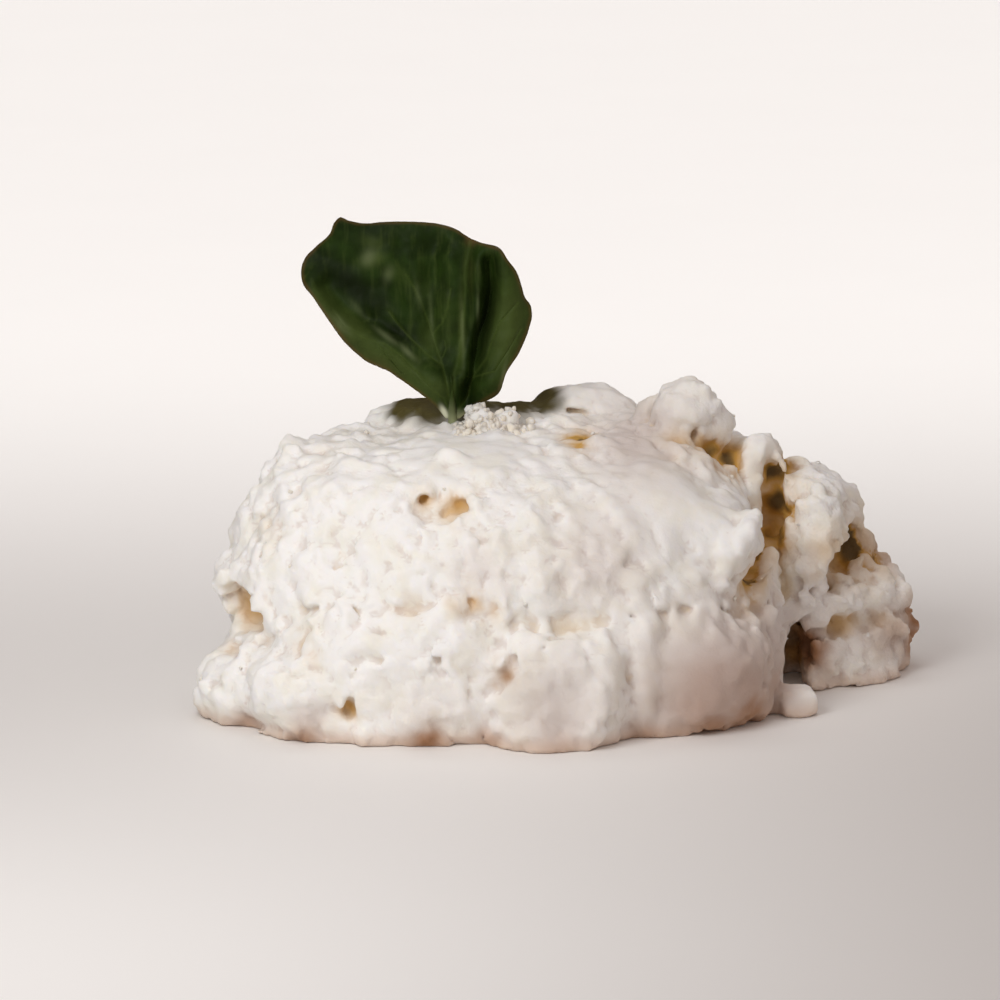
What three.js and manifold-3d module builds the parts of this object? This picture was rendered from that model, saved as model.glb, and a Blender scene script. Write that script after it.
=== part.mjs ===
// A hand-shaped mound of ricotta with one basil leaf stuck upright in its top.
// Millimetres, +Z up, the show side faces -Y, and the mound stands on z = 0.
import * as THREE from "three";
import { mergeVertices } from "three/addons/utils/BufferGeometryUtils.js";
import Module from "manifold-3d";

const wasm = await Module();
wasm.setup();

// ---------------------------------------------------------------- driving dimensions

const CENTRE_X = 0.78; // middle of the whole object's box, taken off every x
const CENTRE_Y = -1.2; // the same for y
const REACH = { x: [-74, 76], y: [-62, 62], z: 66 }; // the space that the mound fits in
const CELL = 2.85; // spacing of the sampling grid, which sets the facet size
const ROOT_DEPTH = 2; // grid layers under the table, cut off at z = 0
const LEAST_DISTANCE = 0.1; // no grid point lies closer to the skin than this once scraps are cleared
const GRID_LOSS = 0.35; // how much the coarse grid rounds off the crags, added back all round

const WARP_SIZE = 5; // wavelength of the twist that makes the curds uneven
const WARP_REACH = 1.8;
const SWELL_BIG = { size: 17, height: 1.4 };
const SWELL_SMALL = { size: 9, height: 1.0 };
const CURD = { size: 6.5, height: 2.1, mean: 0.23 };
const PIT = { size: 6, depth: 4, threshold: 0.38 };
const PATCH = { size: 12, middle: 0.75, swing: 0.9, least: 0.25, most: 1.3 };
const SMOOTHED_SWELL = 0.4; // the share of the swells that is left in a smoothed patch
const SMOOTHED_CURD = 0.13; // the same for the curds and pits
const BROKEN = { x: 38, fade: 6, extra: 0.4 }; // past this x the cheese is broken, and craggier
const RELIEF_REACH = 3 * CELL; // curds are only worked out this close to the skin

const LEAF_THICKNESS = 0.6;
const LEAF_ROWS = 32; // along the midrib
const LEAF_COLUMNS = 29; // from one margin to the other, with the midrib in the middle
const LEAF_END = 0.985; // the rows stop just short of the tip, where they would meet in a point
const LEAF_ROOT_Y = 1.0; // depth of the blade where it leaves the mound
const LEAF_LEAN = 0.07; // how far it leans back for each millimetre up
const LEAF_ROOT_Z = 48;
const FOLDS_START_Z = 47; // the folds fade in above the root
const FOLDS_FULL_Z = 55;
const FOLDS_AT_ROOT = 0.15; // the share of the folds that is there at the root
const LOOK_DOWN = 0.23; // the margins are drawn as seen from this slope above, so deep places drop by it
const LEAF_PLANE_Y = 1.5; // where nothing drops
const STALK_STEPS = 3; // facets round the stalk's lower end
const STALK_SIDES = 12;
const STALK_TIP = 0.4; // height of its pointed top, in radii
const STALK = { from: [-18.4, 2, 39], to: [-18.8, 1, 49], radius: 0.95 };
const GAP = 0.35; // air between the leaf and the pocket that it stands in
const POCKET_RISE = 4; // how far the stalk's pocket runs on above the stalk
const TABLE = { width: 400, depth: 40 }; // the block that cuts the underside flat

// ---------------------------------------------------------------- noise

/** Scrambles a grid cell and a seed into 32 random-looking bits. */
function mixBits(ix, iy, iz, seed) {
  let h = Math.imul(ix, 374761393) ^ Math.imul(iy, 668265263);
  h ^= Math.imul(iz, 2246822519) ^ Math.imul(seed, 3266489917);
  h = Math.imul(h ^ (h >>> 15), 2246822519);
  h = Math.imul(h ^ (h >>> 13), 3266489917);
  return (h ^ (h >>> 16)) >>> 0;
}

/** One of three numbers from -1 to 1 held in 10 bits each. */
const pull = (bits, axis) => ((bits >>> (10 * axis)) & 1023) / 511.5 - 1;

/** Smooth gradient noise, about -0.7 to 0.7, with features about `size` wide. */
function wave([x, y, z], size, seed) {
  const at = [x / size, y / size, z / size];
  const cell = at.map(Math.floor);
  const f = at.map((v, axis) => v - cell[axis]);
  const w = f.map((v) => v * v * v * (v * (v * 6 - 15) + 10));
  let sum = 0;
  for (let corner = 0; corner < 8; corner++) {
    const d = [corner & 1, (corner >> 1) & 1, corner >> 2];
    const bits = mixBits(cell[0] + d[0], cell[1] + d[1], cell[2] + d[2], seed);
    let weight = 1;
    let slope = 0;
    for (let axis = 0; axis < 3; axis++) {
      weight *= d[axis] ? w[axis] : 1 - w[axis];
      slope += pull(bits, axis) * (f[axis] - d[axis]);
    }
    sum += weight * slope;
  }
  return 1.5 * sum;
}

const clamp = (value, low, high) => Math.min(Math.max(value, low), high);

// ---------------------------------------------------------------- rounded solids as distances

/** Smooth minimum: the two solids melt together over a seam about `blend` wide. */
function join(a, b, blend) {
  const h = Math.max(blend - Math.abs(a - b), 0) / blend;
  return Math.min(a, b) - (h * h * blend) / 4;
}

/** Takes solid b out of solid a with a rounded lip. */
const carve = (a, b, blend) => -join(-a, b, blend);

/** A superellipsoid. `n` = 2 is an ellipsoid, more is boxier; turned by yaw, then tipped by lean. */
function lump(at, size, { yaw = 0, lean = 0, n = 2.2, blend = 2 } = {}) {
  const [cy, sy] = [Math.cos((yaw * Math.PI) / 180), Math.sin((yaw * Math.PI) / 180)];
  const [cl, sl] = [Math.cos((lean * Math.PI) / 180), Math.sin((lean * Math.PI) / 180)];
  const distance = (p) => {
    const [dx, dy, dz] = [p[0] - at[0], p[1] - at[1], p[2] - at[2]];
    const turned = dx * cy + dy * sy;
    const q = [turned * cl + dz * sl, -dx * sy + dy * cy, -turned * sl + dz * cl];
    const u = q.map((v, axis) => Math.abs(v) / size[axis]);
    const k = Math.max(u[0] ** n + u[1] ** n + u[2] ** n, 1e-9) ** (1 / n);
    const slope = Math.hypot(...u.map((v, axis) => v ** (n - 1) / size[axis])) * k ** (1 - n);
    return (k - 1) / Math.max(slope, 1e-6);
  };
  return { distance, blend };
}

/** A rod from a to b whose radius runs evenly from one end's to the other's. */
function rod(a, b, [radiusA, radiusB], blend) {
  const ab = b.map((v, axis) => v - a[axis]);
  const length2 = ab.reduce((sum, v) => sum + v * v, 0);
  const distance = (p) => {
    const ap = p.map((v, axis) => v - a[axis]);
    const t = clamp(ap.reduce((sum, v, axis) => sum + v * ab[axis], 0) / length2, 0, 1);
    return Math.hypot(...ap.map((v, axis) => v - t * ab[axis])) - radiusA - (radiusB - radiusA) * t;
  };
  return { distance, blend };
}

// ---------------------------------------------------------------- the mound's forms

const LUMPS = {
  core: lump([-9.5, -3, 5], [49.5, 42.5, 42], { n: 2.8 }),
  frontWall: lump([-25, -28, 9], [24, 20.5, 17], { n: 3, blend: 4 }),
  frontToe: lump([-0.6, -35, 8], [12.8, 16.6, 12.4], { n: 4, blend: 1.6 }),
  lowerBelly: lump([17.5, -20, 9], [22.5, 22.6, 12], { yaw: -14, n: 3, blend: 4 }),
  leftShoulder: lump([-38, -8, 32.5], [13.6, 21, 13.2], { blend: 6 }),
  leftWall: lump([-47, -12, 19], [10.5, 18, 19], { n: 2.3, blend: 5 }),
  rightShoulder: lump([17, 0, 25], [18.5, 25, 22], { n: 2.3, blend: 6 }),
  rightFace: lump([20.4, -16.5, 29.5], [12.8, 15.5, 11], { yaw: 5, lean: -16, n: 3.8, blend: 3 }),
  backBulk: lump([5, 20, 13], [45, 30, 27], { n: 2.3, blend: 8 }),
  leftFoot: lump([-54, -26, 5.2], [9.9, 12, 8.4]),
  leftToe: lump([-44.5, -35.5, 7], [10.4, 12.8, 8.8], { blend: 1.5 }),
  lobeLow: lump([53.6, 7, 4], [11.2, 15, 13], { n: 2.4 }),
  lobeFront: lump([48.4, 3, 3], [14.6, 11.7, 9], { yaw: 49.5, n: 2.8, blend: 1.5 }),
  lobeBrow: lump([50.4, 4, 14.8], [13, 11.9, 4.8], { yaw: 46, lean: -5, n: 2.4, blend: 1.5 }),
  lobeHigh: lump([45.6, 6, 28.6], [9.8, 11, 9], { yaw: -18, n: 2.3 }),
  lobeSlope: lump([47, -4, 23.5], [5, 8, 12], { n: 2.2 }),
  lobeNeck: lump([53, 9, 20], [5.4, 6, 8], { n: 2 }),
  lobeSide: lump([44.8, -3.5, 16.5], [5.4, 8.5, 8.5]),
  saddle: lump([33, 5, 34.4], [9.5, 12, 7.9], { n: 2, blend: 3 }),
  saddleKnob: lump([36.2, 1, 41.2], [3.4, 5, 3.2], { n: 2, blend: 1.5 }),
  topLump: lump([23.4, -1, 48], [5.8, 6.4, 5.4], { lean: -18, n: 2.6, blend: 0.8 }),
  topLumpSide: lump([26.4, 0, 46.9], [5.6, 6, 5.6], { lean: 30, n: 2.4, blend: 0.8 }),
  topLumpPeak: lump([24.4, -2, 52], [3, 3.4, 3], { yaw: 20, blend: 1 }),
  topKnob: lump([16.8, 3, 48], [2.8, 2.8, 2.8], { n: 2, blend: 1 }),
  backShelf: lump([4.6, 19, 42.6], [9.6, 8.5, 7.6], { lean: 8, n: 2.6, blend: 3 }),
  backRidge: lump([-15, 14, 42], [20, 9, 6.4], { lean: -5, n: 2.3, blend: 3 }),
  crestLeft: lump([-13.8, -3.2, 48.4], [2.4, 2.4, 3.4], { n: 2.4, blend: 1.2 }),
  crestMid: lump([-11.2, -2.8, 48.4], [2.6, 2.4, 3], { yaw: 20, lean: 10, n: 2.4, blend: 1.2 }),
  crestRight: lump([-7.6, -2, 48.2], [3, 2.6, 3.2], { yaw: -15, lean: -10, n: 2.4, blend: 1.2 }),
  leftKnob: lump([-46.4, -9, 42.6], [1.9, 3.4, 3.2], { lean: 12, n: 2, blend: 1.6 }),
  leftBump: lump([-56.8, -16, 21], [4.4, 7, 5], { n: 2 }),
  skirtLeft: lump([-31, -20, 0], [25, 26.6, 6.5], { n: 3, blend: 2.5 }),
  skirtMid: lump([-2, -25, 0], [14.5, 27.4, 7], { n: 2.8, blend: 2.5 }),
  strayCurd: lump([43, -27, 2.2], [3.8, 3.4, 3.4], { blend: 1.2 }),
  strayLink: lump([39, -24.5, 1.8], [4.2, 3.4, 2.6], { yaw: 30, blend: 1.2 }),
  strayDrop: lump([-32.7, -47.4, 1], [2.6, 2.6, 2.4], { n: 2, blend: 1.2 }),
};

/** The joined lumps, before anything is pressed on or scooped out. */
function bulk(p) {
  let d = Infinity;
  for (const { distance, blend } of Object.values(LUMPS)) {
    d = d === Infinity ? distance(p) : join(d, distance(p), blend);
  }
  return d;
}

/** The point on the front skin of the bulk at (x, z), moved `inward` along y. */
function onSkin([x, z], inward) {
  const step = 0.1;
  let y = REACH.y[0];
  while (bulk([x, y, z]) >= 0 && y < REACH.y[1]) {
    y += step;
  }
  return [x, y + inward, z];
}

/** A rod laid on the front skin, between two (x, z) places. */
const skinRod = (a, b, radii, blend, inward = 0) => rod(onSkin(a, inward), onSkin(b, inward), radii, blend);

/** A lump-shaped scoop centred on the front skin. */
const scoop = (place, size, inward, form) => lump(onSkin(place, inward), size, form);

// The flap that stands over the gorge.
const TONGUE = lump([30.6, -28.6, 30.6], [2.2, 4.6, 7.4], { lean: -38, blend: 2.5 });

const CUTS = {
  gorgeHigh: lump([40, -6, 33.4], [2.3, 9, 8.4], { lean: -3, n: 2.6, blend: 0.8 }),
  gorgeLow: lump([37, -18, 26.4], [5.8, 10, 2.6], { lean: 32, n: 2.4, blend: 0.6 }),
  gorgeEnd: rod([35, -26, 24.2], [31.6, -34, 23.4], [2.8, 1.8], 0.6),
  gap: lump([43, -11, 3], [2.7, 12, 9], { n: 3, blend: 0.8 }),
  lobeBand: skinRod([46, 9.6], [60, 11.4], [0.8, 0.9], 1, 0.2),
  lumpSeamLeft: skinRod([17.5, 48.6], [25, 45.6], [0.7, 1.2], 0.8, 0.3),
  lumpSeamRight: skinRod([25, 45.6], [32.6, 40.6], [1.2, 1.6], 0.8, 0.3),
  toeArcLow: skinRod([-12.2, 8], [-10.2, 14.2], [1.2, 1.5], 1),
  toeArcHigh: skinRod([-10.2, 14.2], [-3, 18.4], [1.5, 0.8], 1),
};

const SCOOPS = {
  windowDish: scoop([-19.9, 40.4], [6.8, 3, 4], -0.5, { lean: 10, n: 2, blend: 1 }),
  windowLeft: scoop([-23.6, 40.2], [2.4, 4.2, 2], 2, { n: 2, blend: 0.5 }),
  windowRight: scoop([-17.8, 38.3], [4.2, 4.8, 1.7], 2.2, { lean: 18, n: 2, blend: 0.5 }),
  eye: scoop([3.6, 47], [2.6, 3.4, 1.4], 0, { yaw: 20, lean: -12, n: 2, blend: 0.6 }),
  rightHollow: lump([54.6, -4, 23.6], [7.4, 11, 4.4], { lean: 22, n: 2.6, blend: 0.8 }),
  leftHollow: scoop([-55.8, 18.6], [5, 7, 4.6], 0.8, { n: 3, blend: 0.4 }),
  leftNook: scoop([-58, 12.6], [3.4, 4, 1.8], 0, { n: 2, blend: 0.8 }),
};

/** The mound's whole form, without its curds. */
function form(p) {
  let d = join(bulk(p), TONGUE.distance(p), TONGUE.blend);
  for (const { distance, blend } of [...Object.values(CUTS), ...Object.values(SCOOPS)]) {
    d = carve(d, distance(p), blend);
  }
  return d;
}

// Where a spatula has smoothed the cheese: centre and half-widths.
const SMOOTH_PATCHES = [
  { at: [22, -43, 12], size: [19, 9, 11] },
  { at: [-1, -47, 8], size: [9, 6, 9] },
  { at: [20, -30, 39], size: [16, 17, 13] },
  { at: [-15, -20, 47], size: [19, 14, 4] },
  { at: [5.5, 19, 46], size: [12, 9, 7] },
  { at: [43, -27, 2], size: [8, 8, 6] },
  { at: [-15, 16, 49], size: [20, 8, 4] },
  { at: [55.5, 4, 35.5], size: [5, 9, 4] },
];
const SMOOTH_FALL = 1.2;

/** 1 where the cheese is left craggy, down to 0 in a smoothed patch, and more at the broken end. */
function roughness(p) {
  let smooth = 0;
  for (const { at, size } of SMOOTH_PATCHES) {
    const r2 = at.reduce((sum, v, axis) => sum + ((p[axis] - v) / size[axis]) ** 2, 0);
    smooth = Math.max(smooth, Math.exp(-SMOOTH_FALL * r2));
  }
  return (1 - smooth) * (1 + BROKEN.extra * clamp((p[0] - BROKEN.x) / BROKEN.fade, 0, 1));
}

/** How far the curds stand out of the form at p. */
function relief(p) {
  const rough = roughness(p);
  const q = p.map((v, axis) => v + WARP_REACH * wave(p, WARP_SIZE, 11 + axis));
  const swellBig = SWELL_BIG.height * wave(p, SWELL_BIG.size, 1);
  const swellSmall = SWELL_SMALL.height * wave(p, SWELL_SMALL.size, 2);
  const curd = CURD.height * (Math.abs(wave(q, CURD.size, 3)) - CURD.mean);
  const patch = clamp(PATCH.middle + PATCH.swing * wave(p, PATCH.size, 7), PATCH.least, PATCH.most);
  const pit = PIT.depth * Math.max(wave(q, PIT.size, 8) - PIT.threshold, 0);
  const swellShare = SMOOTHED_SWELL + (1 - SMOOTHED_SWELL) * rough;
  const curdShare = SMOOTHED_CURD + (1 - SMOOTHED_CURD) * rough;
  return (swellBig + swellSmall) * swellShare + (curd * patch - pit) * curdShare;
}

// ---------------------------------------------------------------- from distances to a surface

/** Marks the grid points joined to the one at `start` by steps along x, y or z. */
function flood(inside, counts, start, wanted) {
  const [nx, ny, nz] = counts;
  const strides = [ny * nz, nz, 1];
  const reached = new Uint8Array(inside.length);
  const stack = [start];
  reached[start] = 1;
  while (stack.length) {
    const i = stack.pop();
    const place = [Math.floor(i / strides[0]), Math.floor(i / nz) % ny, i % nz];
    for (let axis = 0; axis < 3; axis++) {
      for (const way of [-1, 1]) {
        const j = i + way * strides[axis];
        const within = place[axis] + way >= 0 && place[axis] + way < [nx, ny, nz][axis];
        if (within && !reached[j] && inside[j] === wanted) {
          reached[j] = 1;
          stack.push(j);
        }
      }
    }
  }
  return reached;
}

/** Fills grid squares whose corners are in, out, in, out, so that no edge is shared by four facets. */
function fillCheckers(values, [nx, ny, nz]) {
  const strides = [ny * nz, nz, 1];
  const filled = -0.05 * CELL;
  let changed = true;
  while (changed) {
    changed = false;
    for (let i = 0; i < values.length; i++) {
      const place = [Math.floor(i / strides[0]), Math.floor(i / nz) % ny, i % nz];
      for (const [a, b] of [[0, 1], [1, 2], [0, 2]]) {
        if (place[a] + 1 >= [nx, ny, nz][a] || place[b] + 1 >= [nx, ny, nz][b]) {
          continue;
        }
        const square = [i, i + strides[a], i + strides[a] + strides[b], i + strides[b]];
        const inside = square.map((j) => values[j] < 0);
        if (inside[0] === inside[2] && inside[1] === inside[3] && inside[0] !== inside[1]) {
          for (const j of square) {
            values[j] = Math.min(values[j], filled);
          }
          changed = true;
        }
      }
    }
  }
}

/** Samples the mound on a grid: negative inside, one solid without hidden holes. */
function sampleMound() {
  const low = [REACH.x[0], REACH.y[0], -ROOT_DEPTH * CELL];
  const high = [REACH.x[1], REACH.y[1], REACH.z];
  const counts = high.map((v, axis) => Math.ceil((v - low[axis]) / CELL) + 1);
  const [nx, ny, nz] = counts;
  const values = new Float64Array(nx * ny * nz);
  let i = 0;
  for (let ix = 0; ix < nx; ix++) {
    for (let iy = 0; iy < ny; iy++) {
      for (let iz = 0; iz < nz; iz++) {
        const p = [low[0] + ix * CELL, low[1] + iy * CELL, Math.max(low[2] + iz * CELL, 0)];
        const d = iz === 0 ? CELL : form(p);
        values[i] = iz > 0 && Math.abs(d) < RELIEF_REACH ? d - relief(p) - GRID_LOSS : d;
        i++;
      }
    }
  }
  const middle = (Math.floor(nx / 2) * ny + Math.floor(ny / 2)) * nz + ROOT_DEPTH + 2;
  fillCheckers(values, counts);
  const solid = flood(values.map((v) => (v < 0 ? 1 : 0)), counts, middle, 1);
  const open = flood(solid, counts, 0, 0);
  const closed = values.map((v, j) => {
    return open[j] ? Math.max(v, LEAST_DISTANCE) : Math.min(v, -LEAST_DISTANCE);
  });
  fillCheckers(closed, counts);
  return { values: closed, counts, low };
}

/** Surface nets: one vertex in each grid cell that the surface crosses, one facet pair per crossed edge. */
function surfaceNets({ values, counts: [nx, ny, nz], low }) {
  const strides = [ny * nz, nz, 1];
  const vertexOf = new Int32Array(values.length).fill(-1);
  const positions = [];
  for (let ix = 0; ix < nx - 1; ix++) {
    for (let iy = 0; iy < ny - 1; iy++) {
      for (let iz = 0; iz < nz - 1; iz++) {
        const i = ix * strides[0] + iy * strides[1] + iz;
        const sum = [0, 0, 0];
        let crossings = 0;
        for (let corner = 0; corner < 8; corner++) {
          const from = [corner & 1, (corner >> 1) & 1, corner >> 2];
          const j = i + from.reduce((step, v, k) => step + v * strides[k], 0);
          const a = values[j];
          for (let axis = 0; axis < 3; axis++) {
            const b = from[axis] ? a : values[j + strides[axis]];
            if (!from[axis] && a < 0 !== b < 0) {
              from.forEach((v, k) => (sum[k] += k === axis ? a / (a - b) : v));
              crossings++;
            }
          }
        }
        if (crossings) {
          vertexOf[i] = positions.length / 3;
          const cell = [ix, iy, iz];
          positions.push(...sum.map((v, k) => low[k] + (cell[k] + v / crossings) * CELL));
        }
      }
    }
  }
  const index = [];
  for (let i = 0; i < values.length; i++) {
    for (let axis = 0; axis < 3; axis++) {
      const j = i + strides[axis];
      if (j >= values.length || values[i] < 0 === values[j] < 0) {
        continue;
      }
      const [u, v] = [strides[(axis + 1) % 3], strides[(axis + 2) % 3]];
      const ring = [i - u - v, i - v, i, i - u].map((k) => vertexOf[k]);
      index.push(...splitQuad(positions, values[i] < 0 ? ring : ring.reverse()));
    }
  }
  return solidFrom(positions, index);
}

/** Splits a four-cornered facet along its shorter diagonal. */
function splitQuad(positions, [a, b, c, d]) {
  const span = (p, q) => Math.hypot(...[0, 1, 2].map((k) => positions[3 * p + k] - positions[3 * q + k]));
  return span(a, c) < span(b, d) ? [a, b, c, a, c, d] : [a, b, d, b, c, d];
}

// ---------------------------------------------------------------- solids to and from three.js

/** A closed solid from flat lists of positions and triangle corners. */
function solidFrom(positions, index) {
  const vertProperties = Float32Array.from(positions);
  const triVerts = Uint32Array.from(index);
  return new wasm.Manifold(new wasm.Mesh({ numProp: 3, vertProperties, triVerts }));
}

/** A closed solid from a three.js geometry. */
function solidOf(geometry) {
  const plain = geometry.clone();
  plain.deleteAttribute("normal");
  plain.deleteAttribute("uv");
  const merged = mergeVertices(plain, 1e-4);
  return solidFrom(merged.attributes.position.array, merged.index.array);
}

/** A named three.js mesh from a solid, moved so that the whole object is centred on z. */
function meshOf(name, solid, material) {
  const { vertProperties, triVerts } = solid.getMesh();
  const geometry = new THREE.BufferGeometry();
  geometry.setAttribute("position", new THREE.BufferAttribute(vertProperties, 3));
  geometry.setIndex(new THREE.BufferAttribute(triVerts, 1));
  geometry.computeVertexNormals();
  const mesh = new THREE.Mesh(geometry, material);
  mesh.name = name;
  mesh.position.set(-CENTRE_X, -CENTRE_Y, 0);
  return mesh;
}

// ---------------------------------------------------------------- the basil leaf

// The blade's two margins and its midrib, from the root to the tip, as (x, z).
const MARGIN_LEFT = [
  [-20, 47.6], [-22.1, 50.2], [-24.9, 52.5], [-30.3, 56.3], [-34.7, 58.5], [-37.6, 61.1],
  [-40.7, 65.1], [-43.9, 69.9], [-45.9, 72.9], [-46.3, 75], [-45.7, 77.4], [-43.5, 79.8],
  [-41, 82], [-40.1, 84.1], [-39.1, 84.9], [-37.8, 84.4], [-35.9, 83.8], [-31.6, 84],
  [-26.2, 84], [-21.5, 83.6], [-18.3, 82.6], [-16.1, 81.2], [-15.2, 80.7],
];
const MARGIN_RIGHT = [
  [-17.6, 47.6], [-14.9, 49.8], [-10.4, 52.5], [-9.3, 55.6], [-6.9, 59.7], [-5.1, 64.1],
  [-4.5, 66.8], [-4.8, 68.5], [-5.9, 70.1], [-6.4, 71.9], [-7.4, 74.7], [-8.9, 76.7],
  [-10.2, 78.8], [-13.6, 79.9], [-15.2, 80.7],
];
const MIDRIB = [[-18.8, 47.6], [-18.7, 53.9], [-17.2, 59.6], [-16.9, 65.9], [-16.1, 75], [-15.2, 80.7]];

// Long folds: a line in (x, z), its half-width, and how far it sinks away from the show side.
const FOLDS = {
  rollRidge: {
    line: [
      [-44, 72.8], [-42.3, 69.5], [-38.5, 64.8], [-32.2, 62.4], [-28.3, 60.4], [-25.4, 57.8],
      [-21.1, 53.4],
    ],
    width: 2,
    depth: -3.2,
  },
  rollCrease: {
    line: [
      [-41.7, 71.9], [-39.2, 67.9], [-36.5, 66.2], [-32.9, 64.8], [-30.2, 63.5], [-27.7, 61.1],
      [-25, 58],
    ],
    width: 1.5,
    depth: 2,
  },
  sideVeinValley: { line: [[-22.6, 79.6], [-22.4, 71.4], [-22.3, 64]], width: 1.7, depth: 1.5 },
  leftSwell: { line: [[-26.7, 81.4], [-26, 72.3], [-24.6, 65]], width: 2.6, depth: -1.2 },
  middleSwell: { line: [[-19.4, 79.6], [-19.4, 71.4], [-19.9, 64]], width: 1.7, depth: -0.9 },
  ribBank: { line: [[-14, 77.2], [-14.2, 69.5], [-15.3, 61.5], [-16.3, 55.8]], width: 1, depth: -1.6 },
  deepFold: {
    line: [[-12, 76.5], [-11.6, 71.6], [-12.5, 66.8], [-14.2, 62.4], [-14.9, 57.2], [-16.2, 50.4]],
    width: 0.95,
    depth: 3.2,
  },
  rightSwell: {
    line: [[-9.7, 77.2], [-8.2, 69.5], [-8, 65], [-9.7, 59.4], [-11.8, 53.4]],
    width: 3,
    depth: -3.2,
  },
};

// Broad hollows and curled-back edges: centre in (x, z), half-widths, turn in degrees, depth.
const DISHES = {
  cup: { at: [-34.3, 71], size: [13, 7], turn: -38, depth: 5 },
  leftCurl: { at: [-46.2, 76.5], size: [5.5, 7.5], turn: 0, depth: 4.5 },
  topCurl: { at: [-24.6, 85.2], size: [17, 3.2], turn: 0, depth: 2.6 },
  rightEdge: { at: [-3.7, 67.3], size: [3.2, 7], turn: 0, depth: 1.6 },
};

/** A smooth curve through points: cubic between neighbours, with `u` from 0 to 1 along the chords. */
function curveThrough(points) {
  const marks = [0];
  for (let i = 1; i < points.length; i++) {
    marks.push(marks[i - 1] + Math.hypot(points[i][0] - points[i - 1][0], points[i][1] - points[i - 1][1]));
  }
  const total = marks[marks.length - 1];
  const at = marks.map((m) => m / total);
  const slope = (i, k) => {
    const [before, after] = [Math.max(i - 1, 0), Math.min(i + 1, points.length - 1)];
    const [hb, ha] = [at[i] - at[before], at[after] - at[i]];
    const [sb, sa] = [points[i][k] - points[before][k], points[after][k] - points[i][k]];
    return hb && ha ? ((sb / hb) * ha + (sa / ha) * hb) / (hb + ha) : (sb + sa) / (hb + ha);
  };
  return (u) => {
    const found = at.findIndex((m) => m > u);
    const i = found < 0 ? points.length - 2 : found - 1;
    const h = at[i + 1] - at[i];
    const w = (u - at[i]) / h;
    const [w2, w3] = [w * w, w * w * w];
    return [0, 1].map(
      (k) =>
        (2 * w3 - 3 * w2 + 1) * points[i][k] +
        (w3 - 2 * w2 + w) * h * slope(i, k) +
        (3 * w2 - 2 * w3) * points[i + 1][k] +
        (w3 - w2) * h * slope(i + 1, k),
    );
  };
}

/** Distance in (x, z) from a place to a line through points. */
function distanceToLine([x, z], line) {
  let nearest = Infinity;
  for (let i = 1; i < line.length; i++) {
    const [ax, az] = line[i - 1];
    const [vx, vz] = [line[i][0] - ax, line[i][1] - az];
    const k = clamp(((x - ax) * vx + (z - az) * vz) / (vx * vx + vz * vz), 0, 1);
    nearest = Math.min(nearest, Math.hypot(x - ax - k * vx, z - az - k * vz));
  }
  return nearest;
}

/** The blade's depth y at (x, z): a leaning plane, pushed and pulled by bell-shaped folds and dishes. */
function bladeDepth([x, z]) {
  const rise = clamp((z - FOLDS_START_Z) / (FOLDS_FULL_Z - FOLDS_START_Z), 0, 1);
  const fade = rise * rise * (3 - 2 * rise);
  let push = 0;
  for (const { line, width, depth } of Object.values(FOLDS)) {
    push += depth * Math.exp(-0.5 * (distanceToLine([x, z], line) / width) ** 2);
  }
  for (const { at, size, turn, depth } of Object.values(DISHES)) {
    const [c, s] = [Math.cos((turn * Math.PI) / 180), Math.sin((turn * Math.PI) / 180)];
    const u = ((x - at[0]) * c + (z - at[1]) * s) / size[0];
    const v = (-(x - at[0]) * s + (z - at[1]) * c) / size[1];
    push += depth * Math.exp(-0.5 * (u * u + v * v));
  }
  return LEAF_ROOT_Y + LEAF_LEAN * (z - LEAF_ROOT_Z) + push * (FOLDS_AT_ROOT + (1 - FOLDS_AT_ROOT) * fade);
}

/** The blade as a thin solid; `grow` widens it past its margins. */
function bladeSolid(thickness, grow) {
  const [left, right, rib] = [curveThrough(MARGIN_LEFT), curveThrough(MARGIN_RIGHT), curveThrough(MIDRIB)];
  const rows = [];
  for (let row = 0; row < LEAF_ROWS; row++) {
    const s = (row / (LEAF_ROWS - 1)) * LEAF_END;
    const middle = rib(s);
    const points = [];
    for (let column = 0; column < LEAF_COLUMNS; column++) {
      const t = (2 * column) / (LEAF_COLUMNS - 1) - 1;
      const edge = t < 0 ? left(s) : right(s);
      const span = Math.hypot(edge[0] - middle[0], edge[1] - middle[1]);
      const share = Math.abs(t) * (1 + grow / span);
      const place = [0, 1].map((k) => middle[k] + (edge[k] - middle[k]) * share);
      const depth = bladeDepth(place);
      points.push(new THREE.Vector3(place[0], depth, place[1] - LOOK_DOWN * (depth - LEAF_PLANE_Y)));
    }
    rows.push(points);
  }
  return sheetSolid(rows, thickness);
}

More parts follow.
